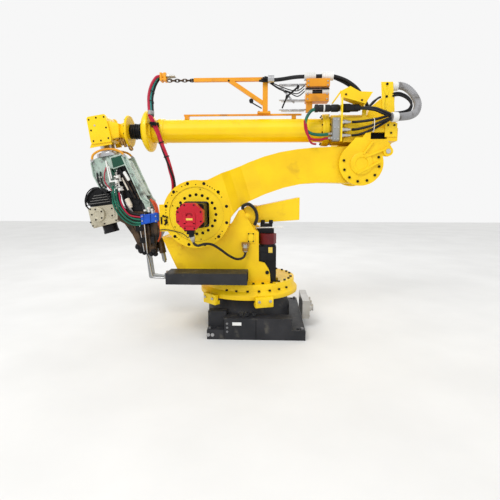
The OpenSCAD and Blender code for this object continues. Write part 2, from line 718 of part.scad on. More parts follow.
module gun_body_outer() {
    slab(-63.8, 63.8) polygon([[895, 800], [870, 812], [800, 776], [722, 776], [696, 800], [650, 770],
        [606, 716], [598, 640], [623, 594], [640, 536], [640, 490], [686, 478], [726, 489],
        [748, 524], [763, 570], [796, 622], [839, 685], [895, 716]]);
    // knobs on both sides of the lower body
    for (side = [0, 1]) mirror([0, side, 0]) for (p = [[756, 540], [738, 508], [660, 500]])
        translate([p[0], 0, p[1]]) rod_y(20, 60, 82, 32);
    // guide of the moving electrode
    on_electrodes() translate([0, 0, cap_z + 70]) cylinder(r = 24, h = 104, $fn = 48);
}

module electrode_arm() color(silver) {
    slab(-20, 20) polygon([[724, 488.2], [694, 479.9], [676, 330], [562, 316], [562, 296],
        [700, 302], [708, 312]]);
    // electrode holder, its shank and the fixed cap
    on_electrodes() {
        translate([0, 0, -14]) cylinder(r = 22, h = 28, $fn = 48);
        translate([0, 0, 14]) cylinder(r = cap_r, h = fixed_cap - 14, $fn = 48);
        translate([0, 0, -66]) cylinder(r = 7, h = 52, $fn = 32);
    }
}

module moving_electrode() color(silver) on_electrodes() translate([0, 0, cap_z]) {
    cylinder(r = cap_r, h = 12, $fn = 48);
    translate([0, 0, 12]) cylinder(r = shank_r, h = 110, $fn = 48);
}

// Water hoses on the gun's near side, from the fittings to the blue clamp
green_hose_a = [[906, 86, 946], [902, 90, 900], [886, 92, 820], [834, 92, 742], [780, 90, 708],
    [731, 86, 700]];
green_hose_b = [[886, 86, 946], [882, 90, 890], [866, 92, 822], [824, 92, 758], [780, 90, 730],
    [731, 86, 722]];
red_hose = [[866, 86, 900], [858, 90, 850], [836, 90, 796], [800, 90, 756], [731, 86, 740]];
module gun_hoses() {
    color(green) for (route = [green_hose_a, green_hose_b]) hose(route, 7, 4, 8);
    color(red) hose(red_hose, 6, 4, 8);
}

module hose_clamp() color("royalblue") slab(64, 100) polygon([[729, 752], [716, 690], [660, 700],
    [605, 712], [604, 740], [606, 767], [664, 762]]);

base_casting();
base_connector_panel();
base_bolts();
j1_reducer();
turret_casting();
ring_bolts();
j1_stoppers();
j1_motor();
j1_motor_cap();
fork_pockets();
gland_plate();
cable_gland();
rear_beam();
turret_conduit();
j1_bearing();
j2_reducer();
lower_arm();
hub_plate();
hub_bolts();
j2_motor();
j2_motor_cap();
j2_connector();
j2_cable();
j2_bearing();
j3_reducer();
elbow_housing();
j3_motor();
wrist_motors();
rear_brackets();
hose_manifold();
rear_conduit();
manifold_hoses();
forearm_tube();
boom_frame();
hose_carriers();
carrier_clamps();
top_hose();
spring_rods();
boom_clamp();
boom_hoses();
hose_ring();
drive_shafts();
dress_hose_upper();
wrist_neck();
wrist_coupling();
dress_hose_middle();
wrist_box();
wrist_cover();
tool_flange();
gun_frame();
gun_guard();
gun_transformer();
gun_motor();
gun_gearbox();
gun_body();
electrode_arm();
gun_hoses();
hose_clamp();
dress_hose_lower();
moving_electrode();
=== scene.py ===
import json
import math

import bpy
import numpy as np
from mathutils import Matrix, Vector


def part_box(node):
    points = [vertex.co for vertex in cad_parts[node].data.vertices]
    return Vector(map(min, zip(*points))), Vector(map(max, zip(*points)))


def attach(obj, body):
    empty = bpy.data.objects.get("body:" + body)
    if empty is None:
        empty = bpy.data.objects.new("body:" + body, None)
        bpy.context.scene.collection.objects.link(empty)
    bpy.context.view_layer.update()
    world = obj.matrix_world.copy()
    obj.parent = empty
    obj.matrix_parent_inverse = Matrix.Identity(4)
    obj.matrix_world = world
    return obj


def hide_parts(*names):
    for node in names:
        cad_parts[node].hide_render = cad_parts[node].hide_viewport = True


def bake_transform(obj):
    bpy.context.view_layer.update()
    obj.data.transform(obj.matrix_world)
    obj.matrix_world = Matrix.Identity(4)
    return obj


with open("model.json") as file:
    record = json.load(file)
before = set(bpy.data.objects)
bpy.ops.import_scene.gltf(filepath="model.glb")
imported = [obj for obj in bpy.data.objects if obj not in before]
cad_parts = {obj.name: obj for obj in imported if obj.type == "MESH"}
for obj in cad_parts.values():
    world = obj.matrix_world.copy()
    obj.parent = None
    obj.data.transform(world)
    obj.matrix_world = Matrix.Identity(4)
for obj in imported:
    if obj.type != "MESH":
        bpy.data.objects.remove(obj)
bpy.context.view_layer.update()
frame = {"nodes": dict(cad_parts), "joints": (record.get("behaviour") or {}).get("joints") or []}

MM = 0.001
X, Y, Z = Vector((1, 0, 0)), Vector((0, 1, 0)), Vector((0, 0, 1))
SMOOTH_ANGLE = math.radians(35)
BEVEL_ANGLE = math.radians(32)
WELD_DISTANCE = 0.00002
BOLT_SIDES = 18
ROUTE_STEPS = 10
GLOSS_SPREAD = 0.10
GRAIN_DEPTH = 0.0006
WEAVE_DEPTH = 0.0008
MATERIALS = {}
JOINTS = {j["name"]: j for j in frame["joints"]}


def joint_place(name):
    return Vector(JOINTS[name]["pos_m"]) / MM


SHOULDER = joint_place("j2_swing")
ELBOW = joint_place("j3_lift")
BEND = joint_place("j5_bend")
TOOL_DOWN = Vector(JOINTS["j6_turn"]["axis"])
CLOSE = Vector(JOINTS["electrode_stroke"]["axis"])
FORE_Z = BEND.z
# Over the elbow, at the height of the forearm's axis
FOREARM = (ELBOW.x, 0, FORE_Z)


def low(node):
    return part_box(node)[0] / MM


def high(node):
    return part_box(node)[1] / MM


def boom_origin():
    """Over the elbow, at the height of the boom's axis."""
    return ELBOW.x, 0, low("boom_clamp").z + 2


# ---- camera, floor and light ----

CAMERA_PLACE = Vector((-0.124, 2.690, 0.913))
CAMERA_YAW = math.radians(2.5)
CAMERA_PITCH = math.radians(8.6)
CAMERA_LENS = 28.08


def make_camera():
    ahead = Vector((math.cos(CAMERA_PITCH) * math.sin(CAMERA_YAW), -math.cos(CAMERA_PITCH)
            * math.cos(CAMERA_YAW), -math.sin(CAMERA_PITCH)))
    data = bpy.data.cameras.new("camera")
    data.lens = CAMERA_LENS
    data.sensor_width = 36
    camera = bpy.data.objects.new("camera", data)
    camera.location = CAMERA_PLACE
    camera.rotation_mode = "QUATERNION"
    camera.rotation_quaternion = ahead.to_track_quat("-Z", "Y")
    bpy.context.scene.collection.objects.link(camera)
    bpy.context.scene.camera = camera


def area_light(name, place, aim, size, power):
    data = bpy.data.lights.new(name, "AREA")
    data.size = size
    data.energy = power
    light = bpy.data.objects.new(name, data)
    light.location = place
    light.rotation_mode = "QUATERNION"
    light.rotation_quaternion = (Vector(aim) - Vector(place)).to_track_quat("-Z", "Y")
    bpy.context.scene.collection.objects.link(light)


def make_stage():
    scene = bpy.context.scene
    scene.view_settings.view_transform = "Standard"
    world = bpy.data.worlds.new("studio")
    world.use_nodes = True
    background = world.node_tree.nodes["Background"]
    background.inputs["Color"].default_value = (1.0, 1.0, 1.0, 1)
    background.inputs["Strength"].default_value = 0.93
    scene.world = world
    area_light("key", (1.6, 3.0, 4.4), (0, 0, 0.8), 2.0, 90)
    area_light("fill", (-3.0, 3.0, 2.0), (0, 0, 0.8), 3.0, 12)
    area_light("back", (0.5, -3.6, 3.4), (0, 0, 0.9), 3.0, 36)
    mesh = bpy.data.meshes.new("floor")
    size = 9
    mesh.from_pydata([(-size, -size, 0), (size, -size, 0), (size, size, 0), (-size, size, 0)], [],
            [(0, 1, 2, 3)])
    floor = bpy.data.objects.new("floor", mesh)
    scene.collection.objects.link(floor)
    floor.data.materials.append(surface("floor_paint", (0.80, 0.80, 0.79), 0.75,
            tint=(0.76, 0.76, 0.75), tint_scale=2))


# ---- materials ----

def surface(name, colour, rough, metal=0.0, tint=None, tint_scale=6.0, grain=0.0,
        grain_scale=400.0, dirt=None, dirt_scale=9.0, dirt_share=0.62, coat=0.0, shine=0.3):
    """A surface with colour drift, dirt, fine relief and varied gloss, kept in MATERIALS."""
    material = bpy.data.materials.new(name)
    material.use_nodes = True
    nodes = material.node_tree.nodes
    links = material.node_tree.links
    shader = nodes["Principled BSDF"]
    shader.inputs["Metallic"].default_value = metal
    shader.inputs["Coat Weight"].default_value = coat
    shader.inputs["Specular IOR Level"].default_value = shine
    place = nodes.new("ShaderNodeTexCoord").outputs["Object"]

    def noise(scale, detail=4.0):
        node = nodes.new("ShaderNodeTexNoise")
        node.inputs["Scale"].default_value = scale
        node.inputs["Detail"].default_value = detail
        links.new(place, node.inputs["Vector"])
        return node.outputs["Fac"]

    def ramp(source, first, last):
        node = nodes.new("ShaderNodeMapRange")
        node.inputs["From Min"].default_value = first
        node.inputs["From Max"].default_value = last
        links.new(source, node.inputs["Value"])
        return node.outputs["Result"]

    def mix(share, first, second):
        node = nodes.new("ShaderNodeMix")
        node.data_type = "RGBA"
        links.new(share, node.inputs["Factor"])
        for socket, value in (("A", first), ("B", second)):
            target = [i for i in node.inputs if i.name == socket and i.type == "RGBA"][0]
            if isinstance(value, tuple):
                target.default_value = (*value, 1)
            else:
                links.new(value, target)
        return [o for o in node.outputs if o.type == "RGBA"][0]

    tint = tint or tuple(c * 0.86 for c in colour)
    base = mix(ramp(noise(tint_scale), 0.35, 0.65), colour, tint)
    if dirt:
        base = mix(ramp(noise(dirt_scale, 9.0), dirt_share, dirt_share + 0.14), base, dirt)
    links.new(base, shader.inputs["Base Color"])
    gloss = nodes.new("ShaderNodeMapRange")
    gloss.inputs["To Min"].default_value = max(0.03, rough - GLOSS_SPREAD)
    gloss.inputs["To Max"].default_value = min(1.0, rough + GLOSS_SPREAD)
    links.new(noise(tint_scale * 5), gloss.inputs["Value"])
    links.new(gloss.outputs["Result"], shader.inputs["Roughness"])
    if grain:
        bump = nodes.new("ShaderNodeBump")
        bump.inputs["Strength"].default_value = grain
        bump.inputs["Distance"].default_value = GRAIN_DEPTH
        links.new(noise(grain_scale, 3.0), bump.inputs["Height"])
        links.new(bump.outputs["Normal"], shader.inputs["Normal"])
    MATERIALS[name] = material
    return material


def braided(name, colour, thread):
    """A woven hose sleeve: two crossing sets of threads along the hose's own map."""
    material = surface(name, colour, 0.7, tint=thread, tint_scale=40)
    nodes = material.node_tree.nodes
    links = material.node_tree.links
    uv = nodes.new("ShaderNodeUVMap")
    height = None
    for lean in (0.7, -0.7):
        turn = nodes.new("ShaderNodeMapping")
        turn.inputs["Rotation"].default_value = (0, 0, lean)
        links.new(uv.outputs["UV"], turn.inputs["Vector"])
        wave = nodes.new("ShaderNodeTexWave")
        wave.inputs["Scale"].default_value = 45
        links.new(turn.outputs["Vector"], wave.inputs["Vector"])
        if height is None:
            height = wave.outputs["Fac"]
        else:
            top = nodes.new("ShaderNodeMath")
            top.operation = "MAXIMUM"
            links.new(height, top.inputs[0])
            links.new(wave.outputs["Fac"], top.inputs[1])
            height = top.outputs["Value"]
    bump = nodes.new("ShaderNodeBump")
    bump.inputs["Strength"].default_value = 0.5
    bump.inputs["Distance"].default_value = WEAVE_DEPTH
    links.new(height, bump.inputs["Height"])
    links.new(bump.outputs["Normal"], nodes["Principled BSDF"].inputs["Normal"])


def make_materials():
    surface("yellow_paint", (0.93, 0.64, 0.003), 0.36, tint=(0.87, 0.57, 0.002), grain=0.2,
            grain_scale=260, dirt=(0.76, 0.46, 0.006), dirt_scale=11, dirt_share=0.66, coat=0.15)
    surface("cast_yellow", (0.92, 0.62, 0.003), 0.44, tint=(0.84, 0.53, 0.003), grain=0.6,
            grain_scale=170, dirt=(0.68, 0.40, 0.008), dirt_scale=8, dirt_share=0.64)
    surface("orange_paint", (0.80, 0.34, 0.012), 0.42, tint=(0.70, 0.27, 0.01), grain=0.3,
            grain_scale=300, dirt=(0.48, 0.19, 0.02))
    surface("guard_paint", (0.84, 0.42, 0.03), 0.40, tint=(0.70, 0.30, 0.02), grain=0.3,
            grain_scale=300, dirt=(0.40, 0.22, 0.06))
    surface("base_paint", (0.020, 0.021, 0.024), 0.46, tint=(0.036, 0.036, 0.040), grain=0.8,
            grain_scale=160, dirt=(0.085, 0.08, 0.07), dirt_scale=14, dirt_share=0.58, shine=0.16)
    surface("motor_black", (0.006, 0.006, 0.007), 0.40, tint=(0.014, 0.014, 0.016), grain=0.5,
            grain_scale=300, dirt=(0.045, 0.04, 0.037), shine=0.16)
    surface("motor_red", (0.58, 0.010, 0.030), 0.36, tint=(0.46, 0.008, 0.02), grain=0.25,
            grain_scale=350, dirt=(0.30, 0.02, 0.03))
    # The motor red darkened as painted shade, for the first motor's cap deep in the turret
    surface("shaded_cap_red", (0.20, 0.006, 0.012), 0.42, tint=(0.10, 0.004, 0.006), grain=0.3,
            grain_scale=300, dirt=(0.03, 0.01, 0.01))
    surface("steel", (0.60, 0.60, 0.61), 0.30, metal=1.0, tint=(0.44, 0.44, 0.45), grain=0.3,
            grain_scale=500, dirt=(0.20, 0.17, 0.14), dirt_share=0.66)
    surface("dark_bolts", (0.012, 0.010, 0.009), 0.42, metal=0.5, tint=(0.035, 0.024, 0.016),
            grain=0.3, shine=0.2)
    surface("reducer_metal", (0.26, 0.26, 0.27), 0.45, metal=1.0, grain=0.4)
    surface("connector_metal", (0.55, 0.54, 0.52), 0.32, metal=1.0, tint=(0.40, 0.38, 0.34),
            grain=0.2, dirt=(0.22, 0.18, 0.13))
    surface("brass", (0.46, 0.28, 0.09), 0.34, metal=1.0, tint=(0.30, 0.17, 0.06))
    surface("copper", (0.72, 0.36, 0.20), 0.34, metal=1.0, tint=(0.50, 0.22, 0.12), grain=0.3)
    surface("cable_black", (0.007, 0.007, 0.008), 0.36, tint=(0.02, 0.02, 0.022), grain=0.3,
            dirt=(0.035, 0.032, 0.03), shine=0.2)
    surface("conduit_grey", (0.34, 0.34, 0.35), 0.60, tint=(0.24, 0.24, 0.25), grain=0.3,
            dirt=(0.13, 0.12, 0.11), dirt_scale=18, dirt_share=0.55)
    surface("white_nylon", (0.82, 0.82, 0.80), 0.5, tint=(0.68, 0.68, 0.65),
            dirt=(0.36, 0.34, 0.30), grain=0.2)
    surface("cream_cover", (0.74, 0.68, 0.58), 0.5, tint=(0.58, 0.52, 0.44),
            dirt=(0.30, 0.25, 0.20), grain=0.2)
    braided("hose_red", (0.40, 0.010, 0.030), (0.56, 0.02, 0.055))
    surface("hose_crimson", (0.46, 0.010, 0.05), 0.42, tint=(0.36, 0.008, 0.03), grain=0.2)
    surface("hose_green", (0.008, 0.17, 0.10), 0.38, tint=(0.004, 0.08, 0.05), grain=0.2,
            tint_scale=14)
    surface("hose_teal", (0.02, 0.22, 0.20), 0.42, tint=(0.03, 0.30, 0.27))
    surface("hose_orange", (0.66, 0.11, 0.02), 0.45, tint=(0.5, 0.07, 0.02))
    surface("grey_metal", (0.36, 0.37, 0.37), 0.42, metal=0.7, tint=(0.28, 0.29, 0.29), grain=0.4,
            dirt=(0.16, 0.15, 0.14))
    surface("gun_paint", (0.46, 0.56, 0.50), 0.40, tint=(0.34, 0.44, 0.38), grain=0.3,
            tint_scale=12, dirt=(0.12, 0.13, 0.11), dirt_scale=16, dirt_share=0.55, metal=0.2)
    surface("gun_green", (0.012, 0.10, 0.055), 0.42, tint=(0.006, 0.05, 0.03), grain=0.3)
    surface("gearbox_metal", (0.56, 0.52, 0.40), 0.42, metal=0.5, tint=(0.44, 0.40, 0.30),
            grain=0.7, grain_scale=180, dirt=(0.20, 0.15, 0.09), dirt_share=0.58)
    surface("bronze_metal", (0.035, 0.026, 0.020), 0.38, metal=0.6, tint=(0.12, 0.075, 0.045),
            grain=0.7, grain_scale=180, tint_scale=16, dirt=(0.012, 0.010, 0.009), dirt_scale=20,
            dirt_share=0.52)
    surface("blue_paint", (0.010, 0.10, 0.60), 0.40, tint=(0.01, 0.07, 0.46), grain=0.2)
    surface("label_white", (0.80, 0.80, 0.78), 0.5, tint=(0.74, 0.74, 0.72))
    surface("label_yellow", (0.82, 0.60, 0.10), 0.5, tint=(0.74, 0.52, 0.08))
    surface("shadow_black", (0.006, 0.006, 0.006), 0.8, shine=0.1)


# ---- mesh building ----

def circle_points(count, radius, turn=0.0):
    return [(radius * math.cos(turn + math.tau * k / count),
            radius * math.sin(turn + math.tau * k / count)) for k in range(count)]


def axes_for(direction):
    """Two directions square to this one, and it."""
    along = Vector(direction).normalized()
    across = along.orthogonal().normalized()
    if abs(along.y) < 0.99:
        across = along.cross(Vector((0, 1, 0))).normalized()
    return across, along.cross(across), along


class Shape:
    """Collects simple solids, in millimetres from an origin, into one mesh object."""

    def __init__(self, name, origin=(0, 0, 0)):
        self.name = name
        self.origin = origin
        self.points = []
        self.faces = []
        self.maps = {}

    def add(self, points, faces, uvs=None):
        start = len(self.points)
        self.points += [tuple(c + o for c, o in zip(p, self.origin)) for p in points]
        for index, face in enumerate(faces):
            if uvs:
                self.maps[len(self.faces)] = uvs[index]
            self.faces.append(tuple(start + i for i in face))
        return self

    def lathe(self, profile, base, direction, sides=32):
        """Turn (distance along, radius) pairs about a line; a radius of zero closes an end."""
        across, up, along = axes_for(direction)
        rings = []
        points = []
        for distance, radius in profile:
            centre = Vector(base) + along * distance
            if radius <= 0:
                rings.append([len(points)])
                points.append(centre)
            else:
                rings.append(list(range(len(points), len(points) + sides)))
                points += [centre + across * x + up * y for x, y in circle_points(sides, radius)]
        faces = []
        for first, second in zip(rings, rings[1:]):
            for k in range(sides):
                n = (k + 1) % sides
                if len(first) == 1:
                    faces.append((first[0], second[n], second[k]))
                elif len(second) == 1:
                    faces.append((first[k], first[n], second[0]))
                else:
                    faces.append((first[k], first[n], second[n], second[k]))
        return self.add(points, faces)

    def rod(self, start, end, radius, sides=24):
        length = (Vector(end) - Vector(start)).length
        edge = min(radius * 0.12, length * 0.2)
        return self.lathe([(0, 0), (0, radius - edge), (edge, radius), (length - edge, radius),
                (length, radius - edge), (length, 0)], start, Vector(end) - Vector(start), sides)

    def nut(self, base, direction, radius, height):
        return self.lathe([(0, 0), (0, radius), (height * 0.8, radius), (height, radius * 0.86),
                (height, 0)], base, direction, 6)

    def bolt(self, base, direction, radius, height):
        sides = BOLT_SIDES
        across, up, along = axes_for(direction)
        base = Vector(base)
        rings = [(0, radius), (height * 0.85, radius), (height, radius * 0.88),
                (height, radius * 0.5), (height * 0.45, radius * 0.5)]
        points = []
        for distance, size in rings:
            points += [base + along * distance + across * x + up * y for x,
                    y in circle_points(sides, size)]
        faces = [tuple((sides - 1 - k) for k in range(sides))]
        for ring in range(len(rings) - 1):
            for k in range(sides):
                n = (k + 1) % sides
                a, b = ring * sides, (ring + 1) * sides
                faces.append((a + k, a + n, b + n, b + k))
        faces.append(tuple((len(rings) - 1) * sides + k for k in range(sides)))
        return self.add(points, faces)

    def box(self, lo, hi, turn=None, about=(0, 0, 0)):
        corners = [Vector((x, y, z)) for z in (lo[2], hi[2]) for y in (lo[1], hi[1])
                for x in (lo[0], hi[0])]
        if turn is not None:
            pivot = Vector(about)
            corners = [turn @ (c - pivot) + pivot for c in corners]
        return self.add(corners, [(0, 2, 3, 1), (4, 5, 7, 6), (0, 1, 5, 4), (2, 6, 7, 3),
                (0, 4, 6, 2), (1, 3, 7, 5)])

    def slab(self, outline, y0, y1):
        """An outline in X and Z, between two depths."""
        area = sum(a[0] * b[1] - b[0] * a[1] for a, b in zip(outline, outline[1:] + outline[:1]))
        if area < 0:
            outline = outline[::-1]
        count = len(outline)
        points = [(x, y0, z) for x, z in outline] + [(x, y1, z) for x, z in outline]
        faces = [tuple(range(count)), tuple(range(2 * count - 1, count - 1, -1))]
        faces += [(k, k + count, (k + 1) % count + count, (k + 1) % count) for k in range(count)]
        return self.add(points, faces)

    def tube(self, route, radius, sides=14, step=None, ribs=None, smooth=True):
        """A hose along a smooth route; ribs is (pitch, depth) for a corrugated one."""
        line = smooth_route(route) if smooth else [Vector(p) for p in route]
        step = step or (ribs[0] / 5 if ribs else max(radius * 0.7, 3.0))
        line, lengths = even_steps(line, step)
        across = None
        points = []
        for i, point in enumerate(line):
            ahead = (line[min(i + 1, len(line) - 1)] - line[max(i - 1, 0)]).normalized()
            if across is None:
                across = axes_for(ahead)[0]
            across = (across - ahead * across.dot(ahead)).normalized()
            up = ahead.cross(across)
            size = radius
            if ribs:
                size = radius * (1 - ribs[1]
                        * (0.5 - 0.5 * math.cos(math.tau * lengths[i] / ribs[0])))
            points += [point + across * x + up * y for x, y in circle_points(sides, size)]
        faces = [tuple(range(sides))[::-1]]
        uvs = [[(0, 0)] * sides]
        for i in range(len(line) - 1):
            for k in range(sides):
                n = (k + 1) % sides
                a, b = i * sides, (i + 1) * sides
                faces.append((a + k, a + n, b + n, b + k))
                u0, u1 = k / sides, (k + 1) / sides
                v0, v1 = lengths[i] * 0.01, lengths[i + 1] * 0.01
                uvs.append([(u0, v0), (u1, v0), (u1, v1), (u0, v1)])
        faces.append(tuple((len(line) - 1) * sides + k for k in range(sides)))
        uvs.append([(0, 0)] * sides)
        return self.add(points, faces, uvs)

    def make(self, look, body=None, bevel=0.0, replaces=()):
        mesh = bpy.data.meshes.new(self.name)
        mesh.from_pydata([(x * MM, y * MM, z * MM) for x, y, z in self.points], [], self.faces)
        if self.maps:
            layer = mesh.uv_layers.new(name="UVMap")
            for polygon in mesh.polygons:
                for corner, uv in zip(polygon.loop_indices, self.maps.get(polygon.index, ())):
                    layer.data[corner].uv = uv
        mesh.validate()
        mesh.polygons.foreach_set("use_smooth", [True] * len(mesh.polygons))
        mesh.set_sharp_from_angle(angle=SMOOTH_ANGLE)
        mesh.materials.append(MATERIALS[look])
        piece = bpy.data.objects.new(self.name, mesh)
        bpy.context.scene.collection.objects.link(piece)
        if bevel:
            soften(piece, bevel)
        if replaces:
            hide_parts(*replaces)
        if body:
            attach(piece, body)
        return piece


def soften(piece, width, weld=False):
    """Round the sharp edges of a piece a little."""
    if weld:
        join = piece.modifiers.new("join", "WELD")
        join.merge_threshold = WELD_DISTANCE
    bevel = piece.modifiers.new("edges", "BEVEL")
    bevel.width = width * MM
    bevel.segments = 2
    bevel.limit_method = "ANGLE"
    bevel.angle_limit = BEVEL_ANGLE
    bevel.harden_normals = True
    bevel.use_clamp_overlap = True


def smooth_route(route):
    p = [Vector(q) for q in route]
    out = []
    for i in range(len(p) - 1):
        a, b, c, d = p[max(i - 1, 0)], p[i], p[i + 1], p[min(i + 2, len(p) - 1)]
        for k in range(ROUTE_STEPS):
            t = k / ROUTE_STEPS
            out.append(0.5 * (2 * b + (c - a) * t + (2 * a - 5 * b + 4 * c - d) * t ** 2
                    + (3 * b - a - 3 * c + d) * t ** 3))
    out.append(p[-1])
    return out


def even_steps(line, step):
    """The same line with points about a step apart, and each point's distance along it."""
    lengths = [0.0]
    for a, b in zip(line, line[1:]):
        lengths.append(lengths[-1] + (b - a).length)
    count = max(2, round(lengths[-1] / step) + 1)
    wanted = np.linspace(0, lengths[-1], count)
    coords = np.array([list(p) for p in line])
    points = [Vector((np.interp(w, lengths, coords[:, 0]), np.interp(w, lengths, coords[:, 1]),
            np.interp(w, lengths, coords[:, 2]))) for w in wanted]
    return points, list(wanted)


def around(centre, radius, angles, y):
    """Places round a centre in the side view, at a depth."""
    return [(centre[0] + radius * math.cos(math.radians(a)), y, centre[2] + radius
            * math.sin(math.radians(a))) for a in angles]


# ---- CAD nodes ----

NODE_LOOKS = {"yellow_paint": ["forearm_tube", "hose_ring", "hub_plate", "wrist_cover",
        "wrist_box", "gland_plate", "rear_brackets", "j1_stoppers", "rear_beam"],
        "cast_yellow": ["turret_casting", "lower_arm", "elbow_housing", "wrist_neck"],
        "base_paint": ["base_casting", "fork_pockets"], "connector_metal": ["base_connector_panel",
        "j2_connector", "cable_gland"], "steel": ["j1_bearing", "j2_bearing", "drive_shafts",
        "spring_rods", "tool_flange"], "reducer_metal": ["base_bolts", "j1_reducer", "j2_reducer",
        "j3_reducer"], "motor_black": ["j1_motor", "j2_motor", "j3_motor", "wrist_motors",
        "wrist_coupling", "gun_motor", "gun_transformer"], "motor_red": ["j2_motor_cap"],
        "shaded_cap_red": ["j1_motor_cap"], "dark_bolts": ["hub_bolts", "ring_bolts"],
        "cable_black": ["turret_conduit", "j2_cable", "manifold_hoses", "top_hose"],
        "conduit_grey": ["rear_conduit"], "orange_paint": ["boom_frame", "hose_carriers",
        "boom_clamp"], "guard_paint": ["gun_guard"], "white_nylon": ["carrier_clamps"],
        "hose_red": ["boom_hoses", "dress_hose_upper", "dress_hose_middle", "dress_hose_lower"],
        "hose_green": ["gun_hoses"], "grey_metal": ["hose_manifold", "electrode_arm",
        "moving_electrode"], "gun_paint": ["gun_frame"], "gearbox_metal": ["gun_gearbox"],
        "bronze_metal": ["gun_body"], "blue_paint": ["hose_clamp"],}
EDGE_SIZES = {"turret_casting": 6, "lower_arm": 5, "elbow_housing": 5, "base_casting": 4,
        "wrist_neck": 4, "wrist_cover": 3, "wrist_box": 3, "forearm_tube": 1.5, "hose_ring": 3,
        "hub_plate": 1.2, "rear_brackets": 1.2, "j1_stoppers": 3, "rear_beam": 4,
        "fork_pockets": 2, "gun_body": 4, "gun_gearbox": 5, "gun_motor": 2, "gun_transformer": 3,
        "gun_frame": 1.5, "hose_clamp": 3, "boom_frame": 1.5, "hose_carriers": 2,
        "boom_clamp": 1.5, "hose_manifold": 1.5, "j1_motor": 4, "j2_motor": 2, "j3_motor": 4,
        "wrist_motors": 4, "electrode_arm": 2, "j1_motor_cap": 4, "j2_motor_cap": 4,
        "tool_flange": 2, "gland_plate": 1, "base_connector_panel": 2, "wrist_coupling": 2,}


def dress_cad():
    for look, names in NODE_LOOKS.items():
        for name in names:
            node = frame["nodes"][name]
            if not node.material_slots:
                node.data.materials.append(None)
            for holder in node.material_slots:
                holder.material = MATERIALS[look]
            if name in EDGE_SIZES:
                soften(node, EDGE_SIZES[name], weld=True)


# ---- pieces ----

def detail_hub():
    """Tapped holes, screws and the seam on the lower arm's hub."""
    face = high("lower_arm").y
    plate = high("hub_plate").y
    small = Shape("hub_tapped_holes")
    groups = [(190, (112, 117, 122, 127, 133, 139, 146)), (190, (63, 70, 76)), (190, (38, 43)),
            (190, (22, 8, 3, -3, -9, -20)), (190, (-49, -54, -128, -133, -140, -147)),
            (182, (50, 90)), (156, (100, 260, 330, 20))]
    for radius, angles in groups:
        for place in around(SHOULDER, radius, angles, face - 1):
            small.rod(place, (place[0], face + 0.6, place[2]), 3.6, 12)
    small.make("shadow_black", "lower_arm")
    bolts = Shape("hub_cap_screws")
    for place in around(SHOULDER, 194, range(15, 375, 30), face - 8):
        bolts.bolt(place, Y, 9.8, 8.6)
    for place in around(SHOULDER, 121, range(0, 360, 18), plate - 9):
        bolts.bolt(place, Y, 9.4, 9.4)
    bolts.make("dark_bolts", "lower_arm")
    seam = Shape("hub_seam")
    seam.lathe([(0, 168.4), (2.2, 168.4), (2.2, 170.2), (0, 170.2), (0, 168.4)],
            (SHOULDER.x, plate - 0.8, SHOULDER.z), Y, 96)
    seam.make("shadow_black", "lower_arm")
    tab = Shape("hub_pad_screws")
    for x, z in ((182, -18), (186, -36), (190, -54), (206, -10)):
        tab.bolt((SHOULDER.x + x, face, SHOULDER.z + z), Y, 6.5, 6)
    tab.make("dark_bolts", "lower_arm")


def detail_shoulder_motor():
    cap = high("j2_motor_cap").y
    x, z = SHOULDER.x, SHOULDER.z
    form = Shape("shoulder_cap_form")
    for side in (-1, 1):
        form.box((x + side * 26 - 7, cap - 1, z - 42), (x + side * 26 + 7, cap + 7, z + 20))
    form.box((x - 33, cap - 1, z - 50), (x + 33, cap + 7, z - 34))
    form.rod((x, cap - 6, z - 14), (x, cap + 3, z - 14), 24, 32)
    form.make("motor_red", "lower_arm", bevel=3)
    label = Shape("shoulder_cap_label")
    label.box((x - 20, cap + 3, z - 20), (x + 20, cap + 4.2, z - 8))
    label.make("label_yellow", "lower_arm", bevel=0.4)
    screws = Shape("shoulder_cap_screws")
    for place in around(SHOULDER, 70, (22, 67, 112, 157, 202, 247, 292, 337), cap - 2):
        screws.bolt(place, Y, 4.5, 5)
    for dx in (-60, 60):
        for dz in (-60, 60):
            screws.bolt((x + dx, 440, z + dz), Y, 6, 7)
    screws.make("dark_bolts", "lower_arm")


def detail_cable():
    """The shoulder motor's connector, its cable's slack loop and the gland on the turret."""
    route = [(301, 470, 630), (296, 466, 610), (276, 452, 598), (242, 424, 604), (204, 386, 596),
            (160, 350, 562), (112, 320, 520), (66, 288, 492), (30, 266, 494), (14, 257, 514),
            (12, 256, 534)]
    cable = Shape("shoulder_motor_cable")
    cable.tube(route, 7.6, 14)
    piece = cable.make("cable_black", replaces=["j2_cable"])
    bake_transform(piece)
    body = Shape("shoulder_connector")
    body.box((290, 452, 668), (334, 494, 694))
    body.rod((312, 472, 672), (306, 471, 650), 16, 24)
    body.make("motor_black", "lower_arm", bevel=3)
    shell = Shape("shoulder_backshell")
    shell.lathe([(0, 0), (0, 15), (4, 16), (20, 16), (22, 13), (34, 12), (36, 9), (44, 8.4),
            (44, 0)], (309, 471, 664), (-0.2, -0.05, -1), 24)
    shell.make("connector_metal", "lower_arm", replaces=["j2_connector"])
    gland = Shape("turret_gland")
    gland.lathe([(0, 8), (0, 13), (8, 14), (10, 19), (26, 19), (28, 15), (46, 14), (48, 18),
            (60, 18), (60, 0)], (12, 256, 530), Z, 24)
    gland.box((-14, 233, 566), (36, 262, 592))
    gland.make("brass", "turret", bevel=1.5)
    wire = Shape("hub_thin_wire")
    wire.tube([(545, 300, 672), (520, 300, 676), (480, 299, 672), (440, 300, 664), (400, 304, 652),
            (372, 330, 640), (345, 420, 640), (322, 462, 655)], 2.6, 8)
    wire.make("cable_black", "lower_arm")


